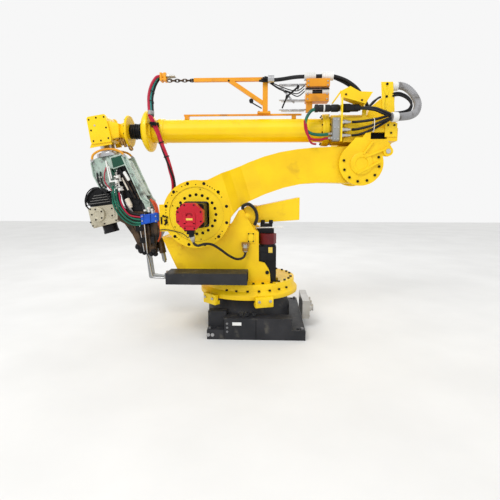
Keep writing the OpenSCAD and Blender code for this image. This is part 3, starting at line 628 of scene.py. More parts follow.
def detail_turret():
    wall = high("gland_plate").y
    screws = Shape("gland_plate_screws")
    for x in (-38, -8):
        for z in (598, 646):
            screws.bolt((x, wall - 1, z), Y, 4.6, 4)
    screws.make("dark_bolts", "turret")
    loop = Shape("turret_conduit_hose")
    loop.tube([(-45, 215, 700), (-60, 221, 744), (-50, 225, 794), (-12, 225, 830), (24, 218, 822),
            (31, 212, 801)], 11, 18, ribs=(7, 0.10))
    loop.make("cable_black", "turret", replaces=["turret_conduit"])
    motor = low("j1_motor"), high("j1_motor")
    front = Shape("first_motor_fittings")
    front.box((motor[0].x + 14, motor[1].y - 18, 470), (motor[1].x - 14, motor[1].y + 2, 520))
    for dx in (12, 102):
        for dy in (12, 102):
            front.bolt((motor[0].x + dx, 96 + dy, 560), Z, 7, 8)
    front.rod((motor[0].x + 57, 226, 396), (motor[0].x + 57, 240, 396), 12, 20)
    front.make("motor_black", "turret", bevel=2)
    plate = Shape("first_motor_label")
    plate.box((-160, 210, 514), (-134, 211.2, 556))
    plate.make("label_yellow", "turret", bevel=0.3)
    hardware = Shape("turret_hardware")
    hardware.box((-170, 60, 640), (-56, 150, 668))
    hardware.box((-160, 70, 668), (-80, 130, 700))
    hardware.rod((-150, 110, 700), (-150, 110, 724), 14, 20)
    hardware.rod((-96, 110, 700), (-96, 110, 724), 14, 20)
    hardware.make("motor_black", "turret", bevel=3)
    # A thin white line across the dark fittings over the first motor: a painted highlight along a
    # black cable
    highlight_line = Shape("turret_cable_highlight")
    highlight_line.rod((-52, 150, 676), (-230, 150, 680), 4, 12)
    highlight_line.make("white_nylon", "turret")
    bolts = Shape("turret_ring_screws")
    for angle in (66, 78, 91, 104, 117, 130, 143):
        a = math.radians(angle)
        bolts.bolt((318 * math.cos(a), 318 * math.sin(a), 286), Z, 8, 9)
    for x, z in ((-66, 640), (-66, 600), (-66, 560), (-66, 500)):
        bolts.bolt((x - 4, 190, z), -X, 6, 6)
    bolts.make("dark_bolts", "turret")
    stops = Shape("stopper_bolts")
    for angle in (108, 48):
        a = math.radians(angle)
        out = Vector((math.cos(a), math.sin(a), 0))
        side = Vector((-math.sin(a), math.cos(a), 0))
        for shift in (-36, 36):
            stops.bolt(out * 366 + side * shift + Vector((0, 0, 236)), out, 9, 9)
    stops.make("steel", "turret")
    lugs = Shape("turret_lifting_lugs")
    for x, z in ((430, 560), (0, 760)):
        lugs.lathe([(0, 0), (0, 16), (8, 16), (8, 9), (14, 9), (14, 0)], (x, wall - 8, z), Y, 24)
    lugs.make("yellow_paint", "turret")


def detail_base():
    side = high("base_casting").y
    label = Shape("base_label")
    label.box((30, side, 92), (86, side + 1, 112))
    label.make("label_white", "base", bevel=0.3)
    lugs = Shape("base_top_lugs")
    for x in (-46, 0, 36):
        lugs.box((x - 13, side - 78, 136), (x + 13, side - 44, 158))
        lugs.rod((x, side - 43, 148), (x, side - 30, 148), 8, 16)
    lugs.box((-60, side - 70, 136), (50, side - 52, 144))
    lugs.make("base_paint", "base", bevel=3)
    anchors = Shape("base_foot_plugs")
    for x, z in ((236, 30), (210, 30)):
        anchors.lathe([(0, 0), (0, 11), (3, 11), (3, 6), (1, 6), (1, 0)], (x, side, z), Y, 20)
    anchors.make("steel", "base")
    seams = Shape("base_cover_seams")
    for x in (138, -60):
        seams.box((x - 1.5, side, 8), (x + 1.5, side + 0.7, 130))
    seams.make("shadow_black", "base")
    screws = Shape("base_panel_screws")
    back = low("base_connector_panel")
    for y in (-136, 136):
        for z in (78, 172):
            screws.bolt((-413, y, z), -X, 5, 5)
    for y in (-90, 0, 90):
        screws.lathe([(0, 20), (10, 20), (10, 24), (16, 24), (16, 14), (4, 14), (4, 0)],
                (back.x + 2, y, 126), -X, 24)
    screws.make("connector_metal", "base")


def detail_forearm():
    bolts = Shape("forearm_flange_screws")
    for k in range(12):
        a = math.tau * (k + 0.5) / 12
        for x, radius, way in ((ELBOW.x + 240, 90, 1), (ELBOW.x + 196, 96, -1)):
            bolts.bolt((x, radius * math.cos(a), FORE_Z + radius * math.sin(a)),
                    (way, 0, 0), 5.5, 6)
    for k in range(8):
        a = math.tau * (k + 0.5) / 8
        bolts.bolt((high("hose_ring").x, 88 * math.cos(a), FORE_Z + 88 * math.sin(a)), X, 5,
                4)
    bolts.make("dark_bolts", "forearm")
    seam = Shape("forearm_lip")
    seam.lathe([(0, 75), (0, 82), (4, 83), (10, 83), (12, 80), (12, 75), (0, 75)],
            (ELBOW.x + 1305, 0, FORE_Z), X, 64)
    seam.make("yellow_paint", "forearm")
    clamp = Shape("ring_hose_clamp")
    clamp.box((584, 80, FORE_Z + 14), (632, 96, FORE_Z + 44))
    clamp.box((590, 90, FORE_Z + 18), (626, 134, FORE_Z + 25))
    clamp.box((592, 90, FORE_Z + 34), (628, 134, FORE_Z + 41))
    clamp.rod((586, 124, FORE_Z + 30), (634, 124, FORE_Z + 34), 8, 16)
    clamp.make("motor_black", "forearm", bevel=2)
    rings = Shape("coupling_rings")
    for x, radius in ((1424, 51), (1440, 54), (1458, 50), (1474, 52), (1490, 49), (1505, 48)):
        rings.lathe([(0, 44), (0, radius - 2), (2, radius), (6, radius), (8, radius - 2), (8, 44)],
                (ELBOW.x + x, 0, FORE_Z), X, 48)
    rings.make("motor_black", "wrist_roll")


def detail_boom():
    boom = boom_origin()
    x0, level = boom[0], boom[2]
    screws = Shape("boom_screws")
    for x in (600, 618):
        for z in (level, level - 12):
            screws.bolt((x0 + x, 16, z), Y, 4, 4)
    for x in (584, 650):
        for y in (-28, 28):
            screws.bolt((x0 + x, y, FORE_Z + 117), Z, 5, 5)
    screws.bolt((x0 + 848, 13, level - 3), Y, 6, 4)
    screws.make("dark_bolts", "forearm")
    chain = Shape("boom_turnbuckle", boom)
    for k in range(7):
        flat = k % 2 == 0
        x = 1090 + k * 25
        loop = [(x + 18 * math.cos(a), 0 if flat else 9 * math.sin(a),
                4 + (9 * math.sin(a) if flat else 0)) for a in [math.tau * n / 12
                for n in range(13)]]
        chain.tube(loop, 3.6, 8, step=4)
    chain.rod((1078, 0, 4), (1094, 0, 4), 5, 12)
    chain.make("bronze_metal", "forearm")
    block = Shape("boom_end_block", boom)
    block.box((1259, -28, -2), (1274, 28, 50))
    block.box((1286, -28, -2), (1300, 28, 50))
    block.box((1262, -26, 4), (1298, 26, 16))
    block.lathe([(0, 20), (14, 20), (14, 24), (26, 24), (26, 20), (40, 20)], (1259, 0, 30), X, 24)
    block.make("orange_paint", "forearm", bevel=2, replaces=["boom_clamp"])
    tail = Shape("boom_end_fittings", boom)
    for y, r in ((-14, 8), (2, 9), (17, 8)):
        tail.lathe([(0, r), (10, r + 3), (22, r + 3), (24, r), (52, r - 2), (60, r - 3), (60, 0)],
                (1260, y, 30), -X, 16)
    tail.make("connector_metal", "forearm")
    knob = Shape("brace_knob", FOREARM)
    knob.rod((700, 12, 186), (700, 34, 186), 14, 20)
    knob.rod((704, 20, 180), (632, 20, 140), 4, 12)
    knob.make("motor_black", "forearm")
    route = [(1298, 0, 30), (1320, 3, 20), (1348, 14, -30), (1360, 40, -100), (1352, 76, -166),
            (1344, 100, -214), (1342, 110, -240)]
    looks = [("boom_hose_red", "hose_crimson", "hose_red", 18, 8.5, ["boom_hoses"]),
            ("boom_hose_teal", "hose_teal", "hose_green", 1, 7, []),
            ("boom_hose_black", "cable_black", "cable_black", -16, 8.5, [])]
    for name, look, slot, side, radius, nodes in looks:
        hose = Shape(name, boom)
        hose.tube([(x + side * 0.5 * min(1, (x - 1298) / 30), y + side * (1 - 0.4 * k / 6), z)
                for k, (x, y, z) in enumerate(route)], radius, 14)
        hose.make(look, "forearm", replaces=nodes)
    boot = Shape("boom_hose_boots", boom)
    for side in (16, 1, -14):
        boot.lathe([(0, 8), (2, 11.5), (26, 11.5), (30, 8)], (1344 + side * 0.4, 96 + side * 0.7,
                -206), (-0.06, 0.4, -0.9), 18)
    boot.make("conduit_grey", "forearm")
    ties = Shape("boom_hose_ties", boom)
    for x, y, z in ((1357, 30, -74), (1354, 62, -142)):
        ties.lathe([(0, 18), (0, 21), (5, 21), (5, 18)], (x, y, z), (0.05, 0.4, -0.9), 24)
    ties.make("cable_black", "forearm")


def detail_carriers():
    boom = boom_origin()
    hose = Shape("overhead_hose", boom)
    hose.tube([(600, 37, -12), (510, 39, -6), (420, 40, 6), (340, 40, 9), (220, 40, 10),
            (160, 40, 5), (90, 39, -20), (30, 36, -60), (-16, 30, -112), (-60, 24, -190)], 12, 20)
    hose.make("cable_black", "forearm", replaces=["top_hose"])
    sleeve = Shape("overhead_sleeves", boom)
    for first, last in ((288, 360), (176, 248)):
        sleeve.tube([(first, 40, 9), ((first + last) / 2, 40, 9), (last, 40, 9)], 27, 28,
                ribs=(11, 0.10))
    for first, last in ((200, 244), (308, 352)):
        sleeve.tube([(first, 40, -88), ((first + last) / 2, 40, -88), (last, 40, -88)], 21.5, 28,
                ribs=(14, 0.10))
    sleeve.make("white_nylon", "forearm", replaces=["carrier_clamps"])
    core = Shape("carrier_core", boom)
    core.tube([(244, 40, -88), (276, 40, -88), (308, 40, -88)], 16, 24, ribs=(8, 0.12))
    for y in (20, 60):
        core.rod((200, y, -70), (352, y, -70), 4, 12)
    core.make("cable_black", "forearm")
    springs = Shape("carrier_springs", boom)
    for z, first in ((-44, 353), (-140, 353), (-200, 353)):
        turns = 22
        coil = [(first + 150 * t / (turns * 8), 40 + 9 * math.cos(math.tau * t / 8),
                z + 9 * math.sin(math.tau * t / 8)) for t in range(turns * 8 + 1)]
        springs.tube(coil, 1.5, 6, step=4.0, smooth=False)
    springs.make("steel", "forearm")
    levers = Shape("carrier_levers", boom)
    levers.rod((400, 66, -60), (470, 66, -118), 6, 12)
    levers.rod((470, 66, -118), (500, 66, -190), 5, 12)
    levers.rod((470, 30, -118), (470, 76, -118), 9, 16)
    levers.rod((400, 30, -60), (400, 76, -60), 9, 16)
    levers.make("motor_black", "forearm")
    leads = Shape("overhead_leads", boom)
    for dy, dz in ((14, -10), (-12, -16), (2, -26)):
        leads.tube([(176, 40 + dy * 0.5, 8 + dz * 0.4), (110, 40 + dy, -6 + dz),
                (50, 36 + dy, -44 + dz), (10, 20 + dy, -92 + dz), (-20, dy, -150 + dz)], 6, 12)
        leads.tube([(356, 44 + dy, -30 + dz * 2), (400, 40 + dy, -60 + dz * 2),
                (450, 44 + dy, -66 + dz), (520, 40 + dy, -40 + dz), (590, 36, -12 + dz * 0.3)],
                3.4, 8)
    leads.make("cable_black", "forearm")
    ends = Shape("overhead_hose_ends", boom)
    for dy, dz, length in ((-14, 8, 60), (0, -6, 74), (14, 6, 52), (4, 14, 40)):
        ends.tube([(575, 36 + dy * 0.3, -12 + dz * 0.3), (575 + length * 0.5, 36 + dy, -10 + dz),
                (575 + length, 36 + dy * 1.4, -6 + dz)], 7, 10)
    ends.make("cable_black", "forearm")
    screws = Shape("carrier_screws", boom)
    fore = FORE_Z - boom[2]
    for x in (214, 336):
        for z in (-30, -54):
            screws.bolt((x, 80, z), Y, 5, 5)
        for z in (fore + 182, fore + 212):
            screws.bolt((x + 4, 80, z), Y, 5, 5)
    screws.make("steel", "forearm")


def detail_elbow():
    x0 = ELBOW.x
    screws = Shape("elbow_screws")
    for place in around(ELBOW, 112, range(10, 370, 30), 150):
        if place[2] < ELBOW.z + 60:
            screws.bolt(place, Y, 8, 8)
    for place in around(ELBOW, 112, range(10, 370, 30), -150):
        screws.bolt(place, -Y, 8, 8)
    for x, z in ((-160, 272), (-160, 196), (-160, 104)):
        screws.bolt((x0 + x, 62, FORE_Z + z), Y, 8, 8)
    for x, z in ((-190, 6), (-152, 6), (-172, -40)):
        screws.bolt((x0 + x, 156, FORE_Z + z), Y, 6, 6)
    for x, z in ((0, 170), (20, 150), (100, 206)):
        screws.bolt((x0 + x, 90, FORE_Z + z), Y, 6, 6)
    screws.make("dark_bolts", "forearm")
    pin = Shape("elbow_lug_pin")
    pin.rod((x0 - 160, 160, ELBOW.z + 74), (x0 - 160, 168, ELBOW.z + 74), 15, 32)
    pin.make("steel", "forearm")
    cap = Shape("elbow_axle_cap")
    cap.lathe([(0, 0), (0, 70), (6, 70), (10, 64), (10, 40), (6, 38), (6, 0)],
            (ELBOW.x, 150, ELBOW.z), Y, 64)
    cap.make("cast_yellow", "forearm")
    well = Shape("elbow_pocket")
    well.box((x0 - 148, 124, FORE_Z - 75), (x0 - 52, 127, FORE_Z - 35))
    well.make("shadow_black", "forearm")


def detail_manifold():
    fittings = Shape("manifold_fittings", FOREARM)
    levels = (32, -14, -50)
    for z in levels:
        fittings.lathe([(0, 0), (0, 13), (16, 13), (16, 9), (22, 9), (22, 12), (40, 12), (42, 9),
                (58, 8), (58, 0)], (129, 124, z), -X, 20)
        fittings.nut((112, 124, z), -X, 14, 12)
    for z in (-40, -66):
        fittings.lathe([(0, 0), (0, 12), (10, 12), (12, 9), (26, 9), (26, 0)],
                (186, 124 if z == -40 else 134, z), X, 20)
    fittings.make("connector_metal", "forearm")
    body = Shape("manifold_block", FOREARM)
    body.box((140, 96, -84), (186, 150, 56))
    body.make("grey_metal", "forearm", bevel=2, replaces=["hose_manifold"])
    plate = Shape("manifold_edge_plate", FOREARM)
    plate.box((130, 132, -90), (139.8, 172, 172))
    plate.make("yellow_paint", "forearm", bevel=1)
    screws = Shape("manifold_screws", FOREARM)
    for z in (44, -4, -72):
        screws.bolt((152, 150, z), Y, 5, 5)
        screws.bolt((174, 150, z), Y, 5, 5)
    screws.make("steel", "forearm")
    plug = Shape("power_connector", FOREARM)
    plug.lathe([(0, 0), (0, 22), (6, 26), (50, 26), (54, 22), (100, 22), (104, 17), (114, 17),
            (114, 0)], (129, 124, 116), -X, 28)
    plug.box((60, 100, 98), (110, 152, 134))
    plug.lathe([(0, 0), (0, 19), (156, 19), (160, 12), (160, 0)], (141, 124, 116), X, 28)
    plug.make("motor_black", "forearm", bevel=2)
    cuff = Shape("power_hose_cuffs", FOREARM)
    for x, radius, length in ((150, 23, 46), (204, 22, 70), (276, 24, 22)):
        cuff.lathe([(0, 18), (0, radius - 2), (3, radius), (length - 3, radius),
                (length, radius - 2), (length, 18)], (x, 124, 116), X, 28)
    cuff.make("cable_black", "forearm")
    band = Shape("power_hose_band", FOREARM)
    band.lathe([(0, 22), (0, 23.4), (9, 23.4), (9, 22)], (236, 124, 116), X, 28)
    band.make("white_nylon", "forearm")
    cables = Shape("manifold_cables", FOREARM)
    for line in ([(-154, 188, 62), (-100, 182, 46), (-40, 160, 36), (30, 130, 32), (64, 124, 32)],
            [(-154, 204, 44), (-100, 192, 22), (-40, 170, 0), (25, 132, -12), (64, 124, -14)],
            [(-154, 184, 38), (-100, 172, 4), (-40, 150, -26), (20, 132, -46), (64, 124, -50)],
            [(-150, 196, 66), (-110, 170, 90), (-70, 140, 112), (0, 126, 118), (30, 124, 116)],
            [(-150, 190, 56), (-110, 176, 74), (-70, 150, 98), (0, 130, 112), (30, 124, 108)]):
        cables.tube(line, 8, 14)
    cables.make("cable_black", "forearm", replaces=["manifold_hoses"])
    tie = Shape("cable_ties", FOREARM)
    tie.tube([(-58 + 2 * math.cos(a), 176 + 30 * math.cos(a), 4 + 40 * math.sin(a))
            for a in [math.tau * n / 16 for n in range(17)]], 2.2, 6, step=6)
    tie.make("white_nylon", "forearm")
    greens = Shape("manifold_green_hoses", FOREARM)
    for shift in (0, 16):
        greens.tube([(x, y + shift, z - shift * 0.4) for x, y,
                z in [(296, 118, 114), (324, 120, 100), (350, 124, 56), (356, 126, 8),
                (330, 126, -28), (280, 126, -42), (212, 124, -40)]], 8)
    greens.make("hose_green", "forearm")
    reds = Shape("manifold_red_hose", FOREARM)
    reds.tube([(360, 141, 40), (352, 143, -20), (320, 142, -70), (260, 136, -76), (225, 134, -68),
            (189, 134, -68)], 8)
    reds.tube([(352, 150, 20), (340, 152, -50), (318, 148, -96), (286, 140, -104)], 6, 12)
    reds.make("hose_crimson", "forearm")
    conduit = Shape("elbow_conduit", FOREARM)
    conduit.tube([(-200, 30, 265), (-245, 34, 268), (-290, 44, 250), (-332, 56, 205),
            (-350, 80, 150), (-336, 104, 98), (-290, 146, 66), (-225, 178, 52), (-160, 192, 48)],
            24, 26, ribs=(12, 0.10))
    conduit.make("conduit_grey", "forearm", replaces=["rear_conduit"])
    cuffs = Shape("elbow_conduit_cuffs", FOREARM)
    cuffs.lathe([(0, 25), (0, 29), (34, 29), (36, 25)], (-196, 184, 50), (0.93, 0.2, -0.06), 28)
    cuffs.lathe([(0, 25), (0, 29), (34, 29), (36, 25)], (-200, 30, 265), (-1, -0.05, 0.04), 28)
    cuffs.make("white_nylon", "forearm")
    inner = Shape("elbow_inner_cables", FOREARM)
    for shift in (0, 15):
        inner.tube([(x, y + shift * 0.5, z - shift) for x, y,
                z in [(-196, 60, 214), (-240, 66, 216), (-285, 80, 190), (-306, 96, 150),
                (-290, 110, 112), (-250, 124, 92), (-196, 120, 86)]], 7, 12)
    inner.make("cable_black", "forearm")


def detail_far_side():
    """Screws, plugs, leads and a flange on the motors of the far side."""
    screws = Shape("far_motor_screws", FOREARM)
    plugs = Shape("far_motor_plugs", FOREARM)
    leads = Shape("far_motor_leads", FOREARM)
    for y, z in ((-214, 60), (-214, -58), (-332, 0)):
        for dy in (-42, 42):
            for dz in (-42, 42):
                screws.bolt((40, y + dy, z + dz), X, 6, 6)
        plugs.box((-120, y - 20, z + 50), (-84, y + 20, z + 74))
        plugs.rod((-102, y, z + 74), (-102, y, z + 92), 13, 20)
        leads.tube([(-102, y, z + 92), (-102, y + 6, z + 130), (-120, y + 50, 190),
                (-140, -90, 215), (-150, -40, 216)], 7, 12)
    screws.make("dark_bolts", "forearm")
    plugs.make("connector_metal", "forearm", bevel=2)
    leads.make("cable_black", "forearm")
    rings = Shape("elbow_motor_flange")
    rings.lathe([(0, 0), (0, 92), (10, 92), (14, 88), (14, 0)], (ELBOW.x, -150, ELBOW.z), -Y, 64)
    rings.make("cast_yellow", "forearm")
    elbow = Shape("elbow_motor_screws")
    for dx in (-48, 48):
        for dz in (-48, 48):
            elbow.bolt((ELBOW.x + dx, -218, ELBOW.z + dz), Y, 6, 6)
    elbow.box((ELBOW.x - 20, -340, ELBOW.z + 58), (ELBOW.x + 20, -300, ELBOW.z + 78))
    elbow.make("dark_bolts", "forearm")


def detail_wrist():
    start = high("wrist_coupling").x
    screws = Shape("wrist_flange_screws")
    for k in range(12):
        a = math.tau * (k + 0.5) / 12
        screws.bolt((start + 14, 95 * math.cos(a), FORE_Z + 95 * math.sin(a)), X, 5.5, 6)
    screws.make("dark_bolts", "wrist_roll")
    turn = Matrix.Rotation(math.atan2(-TOOL_DOWN.x, -TOOL_DOWN.z), 3, "Y")
    bolts = Shape("wrist_cover_screws")
    for side in (-1, 1):
        for x, z in ((-52, -64), (-52, 4), (-52, 72), (50, -64), (50, 4), (50, 72), (0, 76),
                (0, -70)):
            place = turn @ Vector((x, side * 98, z)) + BEND
            bolts.bolt(place, (0, side, 0), 5.5, 5)
    bolts.make("dark_bolts", "wrist_bend")
    seat = Shape("wrist_grease_plug")
    seat.rod(turn @ Vector((20, 100, 30)) + BEND, turn @ Vector((20, 103, 30)) + BEND, 6, 16)
    seat.make("steel", "wrist_bend")
    clump = Shape("wrist_fittings")
    clump.rod((862, 34, 1262), (846, 36, 1222), 12, 20)
    clump.rod((842, 30, 1262), (828, 32, 1206), 10, 20)
    clump.rod((868, 6, 1256), (856, 6, 1220), 11, 20)
    clump.nut((858, 34, 1252), (-0.35, 0, -1), 16, 10)
    clump.box((832, 4, 1240), (872, 44, 1256))
    clump.make("brass", "wrist_roll", bevel=1.5)
    stub = Shape("wrist_flange_fitting")
    stub.lathe([(0, 0), (0, 10), (16, 10), (18, 14), (34, 13), (40, 8), (40, 0)],
            (start + 12, 26, FORE_Z - 94), (-0.5, 0.1, -0.6), 20)
    stub.make("brass", "wrist_roll")


DRESS_ROUTE = [(628, 116, 1389), (598, 112, 1316), (567, 106, 1228), (538, 98, 1139),
        (515, 88, 1050), (502, 74, 985), (508, 54, 925), (535, 30, 860), (560, 14, 800),
        (588, 6, 740), (612, 2, 680), (636, 0, 635), (660, 0, 600)]


def detail_dress_hose():
    """The hose pack from the ring to the gun, in three stretches, one across each joint."""
    rest = smooth_route(DRESS_ROUTE)
    line, lengths = even_steps(rest, 6)
    strands = [("pack", "hose_red", "hose_red", 10.5, 0.0, 4.5), ("line", "hose_crimson",
            "hose_red", 7.5, 2.3, 9.0), ("lead", "cable_black", "cable_black", 7.0, 4.2, 9.5)]
    spans = [("first", "dress_hose_upper", "forearm", "wrist_roll", rest[0], rest[40]),
            ("second", "dress_hose_middle", "wrist_roll", "wrist_bend", rest[40], rest[80]),
            ("third", "dress_hose_lower", "wrist_bend", "tool", rest[80], rest[120])]
    for strand, look, slot, radius, turn, offset in strands:
        twisted = []
        for point, length in zip(line, lengths):
            angle = turn + length / 95
            twisted.append(point + Vector((math.cos(angle), math.sin(angle), 0)) * offset)
        for part, node, one, other, start, end in spans:
            inside = [k for k, p in enumerate(line) if end.z - 3 <= p.z <= start.z + 3]
            stretch = Shape(f"dress_{strand}_{part}")
            stretch.tube(twisted[inside[0]:inside[-1] + 1], radius, 16, step=6, smooth=False)
            piece = stretch.make(look, replaces=[node] if strand == "pack" else ())
            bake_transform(piece)
    bands = Shape("dress_hose_bands")
    for k in (20, 30):
        bands.lathe([(0, 16), (0, 19), (7, 19), (7, 16)], rest[k], rest[k + 1] - rest[k], 28)
    piece = bands.make("cable_black")
    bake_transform(piece)


def detail_gun_frame():
    guard = Shape("gun_guard_bow")
    for y in (-81, 81):
        guard.tube([(1042, y, 1112), (1036, y, 1147), (999, y, 1173), (948, y, 1186),
                (898, y, 1186), (853, y, 1173), (823, y, 1146)], 7.5, 16)
    guard.make("guard_paint", "tool", replaces=["gun_guard"])
    feet = Shape("gun_guard_feet")
    for y in (-81, 81):
        feet.rod((1042, y * 0.9, 1112), (1042, y * 1.09, 1112), 11, 20)
        feet.rod((823, y * 0.9, 1146), (823, y * 1.09, 1146), 11, 20)
    feet.make("steel", "tool")
    top = Shape("gun_top_bay")
    top.slab([(915, 1128), (840, 1148), (820, 1092), (902, 1066)], 74, 79)
    top.slab([(938, 1090), (928, 1096), (912, 1004), (880, 1002), (896, 1056)], 66, 72)
    top.make("gun_green", "tool", bevel=2)
    rims = Shape("gun_bay_rims")
    for a, b in (((918, 1132), (838, 1153)), ((838, 1153), (817, 1088)),
            ((817, 1088), (904, 1060)), ((904, 1060), (918, 1132))):
        rims.tube([(a[0], 80, a[1]), (b[0], 80, b[1])], 3.6, 8, step=12, smooth=False)
    rims.make("gun_paint", "tool")
    bracket = Shape("gun_white_bracket")
    bracket.slab([(951, 1112), (943, 1112), (920, 980), (872, 988), (872, 978), (928, 970)], 76, 92)
    bracket.slab([(935, 1076), (928, 1078), (912, 996), (919, 994)], 76, 86)
    bracket.make("label_white", "tool", bevel=1.2)
    lips = Shape("gun_plate_lips")
    for side in (-1, 1):
        y0, y1 = sorted((side * 74, side * 86))
        lips.slab([(844, 1138), (837, 1142), (716, 862), (676, 838), (679, 832), (724, 856)], y0,
                y1)
        lips.slab([(818, 1144), (811, 1146), (692, 873), (668, 845), (673, 840), (699, 868)], y0,
                y1)
        lips.slab([(1054, 1100), (1046, 1102), (1034, 1012), (1000, 942), (964, 936), (965, 929),
                (1005, 936), (1042, 1010)], y0, y1)
    lips.make("gun_paint", "tool", bevel=1.2)
    screws = Shape("gun_panel_screws")
    for x, z in ((1034, 1092), (980, 1106), (1018, 1040), (962, 1044), (1000, 980), (956, 962)):
        screws.bolt((x, 73.6, z), Y, 5, 5)
    for k in range(6):
        screws.bolt((822 - k * 21.5, 73.6, 1108 - k * 46), Y, 4.5, 5)
    screws.make("steel", "tool")


def detail_gun_fittings():
    silver = Shape("gun_valves")
    for x, z, radius, length in ((884, 1034, 10, 34), (866, 1018, 12, 44), (892, 994, 9, 40),
            (872, 968, 11, 34), (890, 950, 9, 26), (852, 940, 12, 26)):
        silver.lathe([(0, 0), (0, radius), (7, radius), (9, radius - 3), (length - 11, radius - 3),
                (length - 9, radius + 1), (length, radius + 1), (length, 0)], (x, 82, z),
                (-0.25, 0.1, -1), 20)
    silver.rod((900, 80, 1010), (858, 80, 1000), 7, 16)
    silver.rod((890, 84, 974), (846, 84, 930), 6, 16)
    silver.make("connector_metal", "tool")
    white = Shape("gun_white_unions")
    for x, z in ((874, 1012), (880, 980), (862, 930)):
        white.nut((x, 92, z), (-0.2, 0.2, -1), 12, 15)
    white.lathe([(0, 0), (0, 9), (4, 11), (62, 11), (66, 9), (66, 0)], (834, 70, 1040),
            (-0.5, 0.05, -0.86), 20)
    white.make("label_white", "tool")
    cream = Shape("gun_cream_cylinder")
    cream.lathe([(0, 0), (0, 13), (4, 17), (50, 17), (54, 14), (66, 12), (66, 0)], (822, 76, 862),
            (-0.42, 0, -0.9), 24)
    cream.rod((852, 66, 1000), (812, 66, 920), 6, 16)
    cream.make("cream_cover", "tool")
    pipes = Shape("gun_panel_pipes")
    pipes.tube([(1012, 84, 1030), (1004, 92, 980), (984, 92, 934), (962, 86, 900)], 6, 12)
    pipes.tube([(990, 82, 1040), (986, 90, 1000), (974, 92, 960), (950, 86, 930)], 5, 12)
    pipes.tube([(972, 84, 930), (956, 84, 890), (934, 80, 850), (916, 76, 826)], 6, 12)
    pipes.make("cable_black", "tool")
    clips = Shape("gun_panel_clips")
    clips.box((990, 74, 962), (1008, 96, 972))
    clips.box((976, 74, 1000), (998, 94, 1008))
    clips.rod((1014, 74, 1000), (1014, 92, 1000), 7, 16)
    clips.rod((986, 74, 950), (986, 94, 950), 9, 16)
    clips.make("connector_metal", "tool", bevel=1)
    crimson = Shape("gun_panel_red_lead")
    crimson.tube([(950, 80, 1070), (962, 88, 1020), (958, 90, 970), (930, 88, 930),
            (904, 84, 905)], 3.6, 10)
    crimson.make("hose_crimson", "tool")


def detail_gun_power():
    core = Shape("gun_transformer_blocks")
    for k in range(6):
        x, z = 868 - k * 21, 1040 - k * 40
        core.box((x - 22, 40, z - 13), (x + 20, 61, z + 11), Matrix.Rotation(math.radians(-25), 3,
                "Y"), (x, 50, z))
    core.rod((868, 60, 1060), (776, 60, 862), 9, 20)
    core.make("motor_black", "tool", bevel=3)
    strap = Shape("gun_brown_straps")
    strap.slab([(850, 1030), (842, 1032), (762, 866), (770, 862)], 58, 66)
    strap.slab([(818, 1020), (812, 1022), (738, 862), (744, 858)], 52, 64)
    strap.make("bronze_metal", "tool", bevel=1.5)
    fins = Shape("gun_motor_fins")
    for k in range(6):
        z = 826 + k * 15
        fins.box((914 + k * 6, -60, z), (1106 - k * 9, 60, z + 6),
                Matrix.Rotation(math.radians(7.5), 3, "Y"), (1010, 0, z))
    fins.make("motor_black", "tool", bevel=1.2)
    # Thin silver strips along the fins: painted highlights on the motor's black cooling fins
    shine = Shape("gun_motor_fin_highlights")
    for k in range(4):
        z = 834 + k * 17
        shine.box((926 + k * 8, 60, z), (1092 - k * 12, 61.5, z + 1.6),
                Matrix.Rotation(math.radians(7.5), 3, "Y"), (1010, 0, z))
    shine.make("connector_metal", "tool")
    hoop = Shape("gun_cable_hoop")
    hoop.tube([(1014, 56, 934), (1050, 64, 926), (1084, 68, 896), (1104, 70, 856), (1106, 70, 816),
            (1092, 68, 792)], 5, 12)
    hoop.tube([(1020, 50, 936), (1060, 58, 932), (1098, 60, 900), (1116, 62, 850),
            (1112, 60, 806)], 4, 12)
    hoop.make("cable_black", "tool")
    cover = Shape("gun_gearbox_cover")
    cover.lathe([(0, 0), (0, 50), (4, 50), (8, 46), (8, 24), (5, 22), (5, 0)], (1028, 76, 754), Y,
            48)
    cover.slab([(1000, 800), (920, 810), (912, 790), (912, 740), (938, 730), (960, 760)], 66, 71)
    cover.make("gearbox_metal", "tool", bevel=1.5)
    screws = Shape("gun_gearbox_screws")
    for place in around((1028, 0, 754), 37, range(0, 360, 72), 83.6):
        screws.bolt(place, Y, 5.5, 4)
    for x, z in ((1082, 790), (906, 812), (906, 716), (1070, 676), (988, 692), (1084, 700),
            (930, 796), (930, 748)):
        screws.bolt((x, 66 if x != 930 else 71, z), Y, 5, 5)
    screws.make("dark_bolts", "tool")
    collar = Shape("gun_round_housing_rim")
    collar.lathe([(0, 44), (0, 52), (8, 53), (16, 52), (16, 48)], (965, 0, 626), (0.26, 0, 0.965),
            40)
    collar.make("motor_black", "tool")


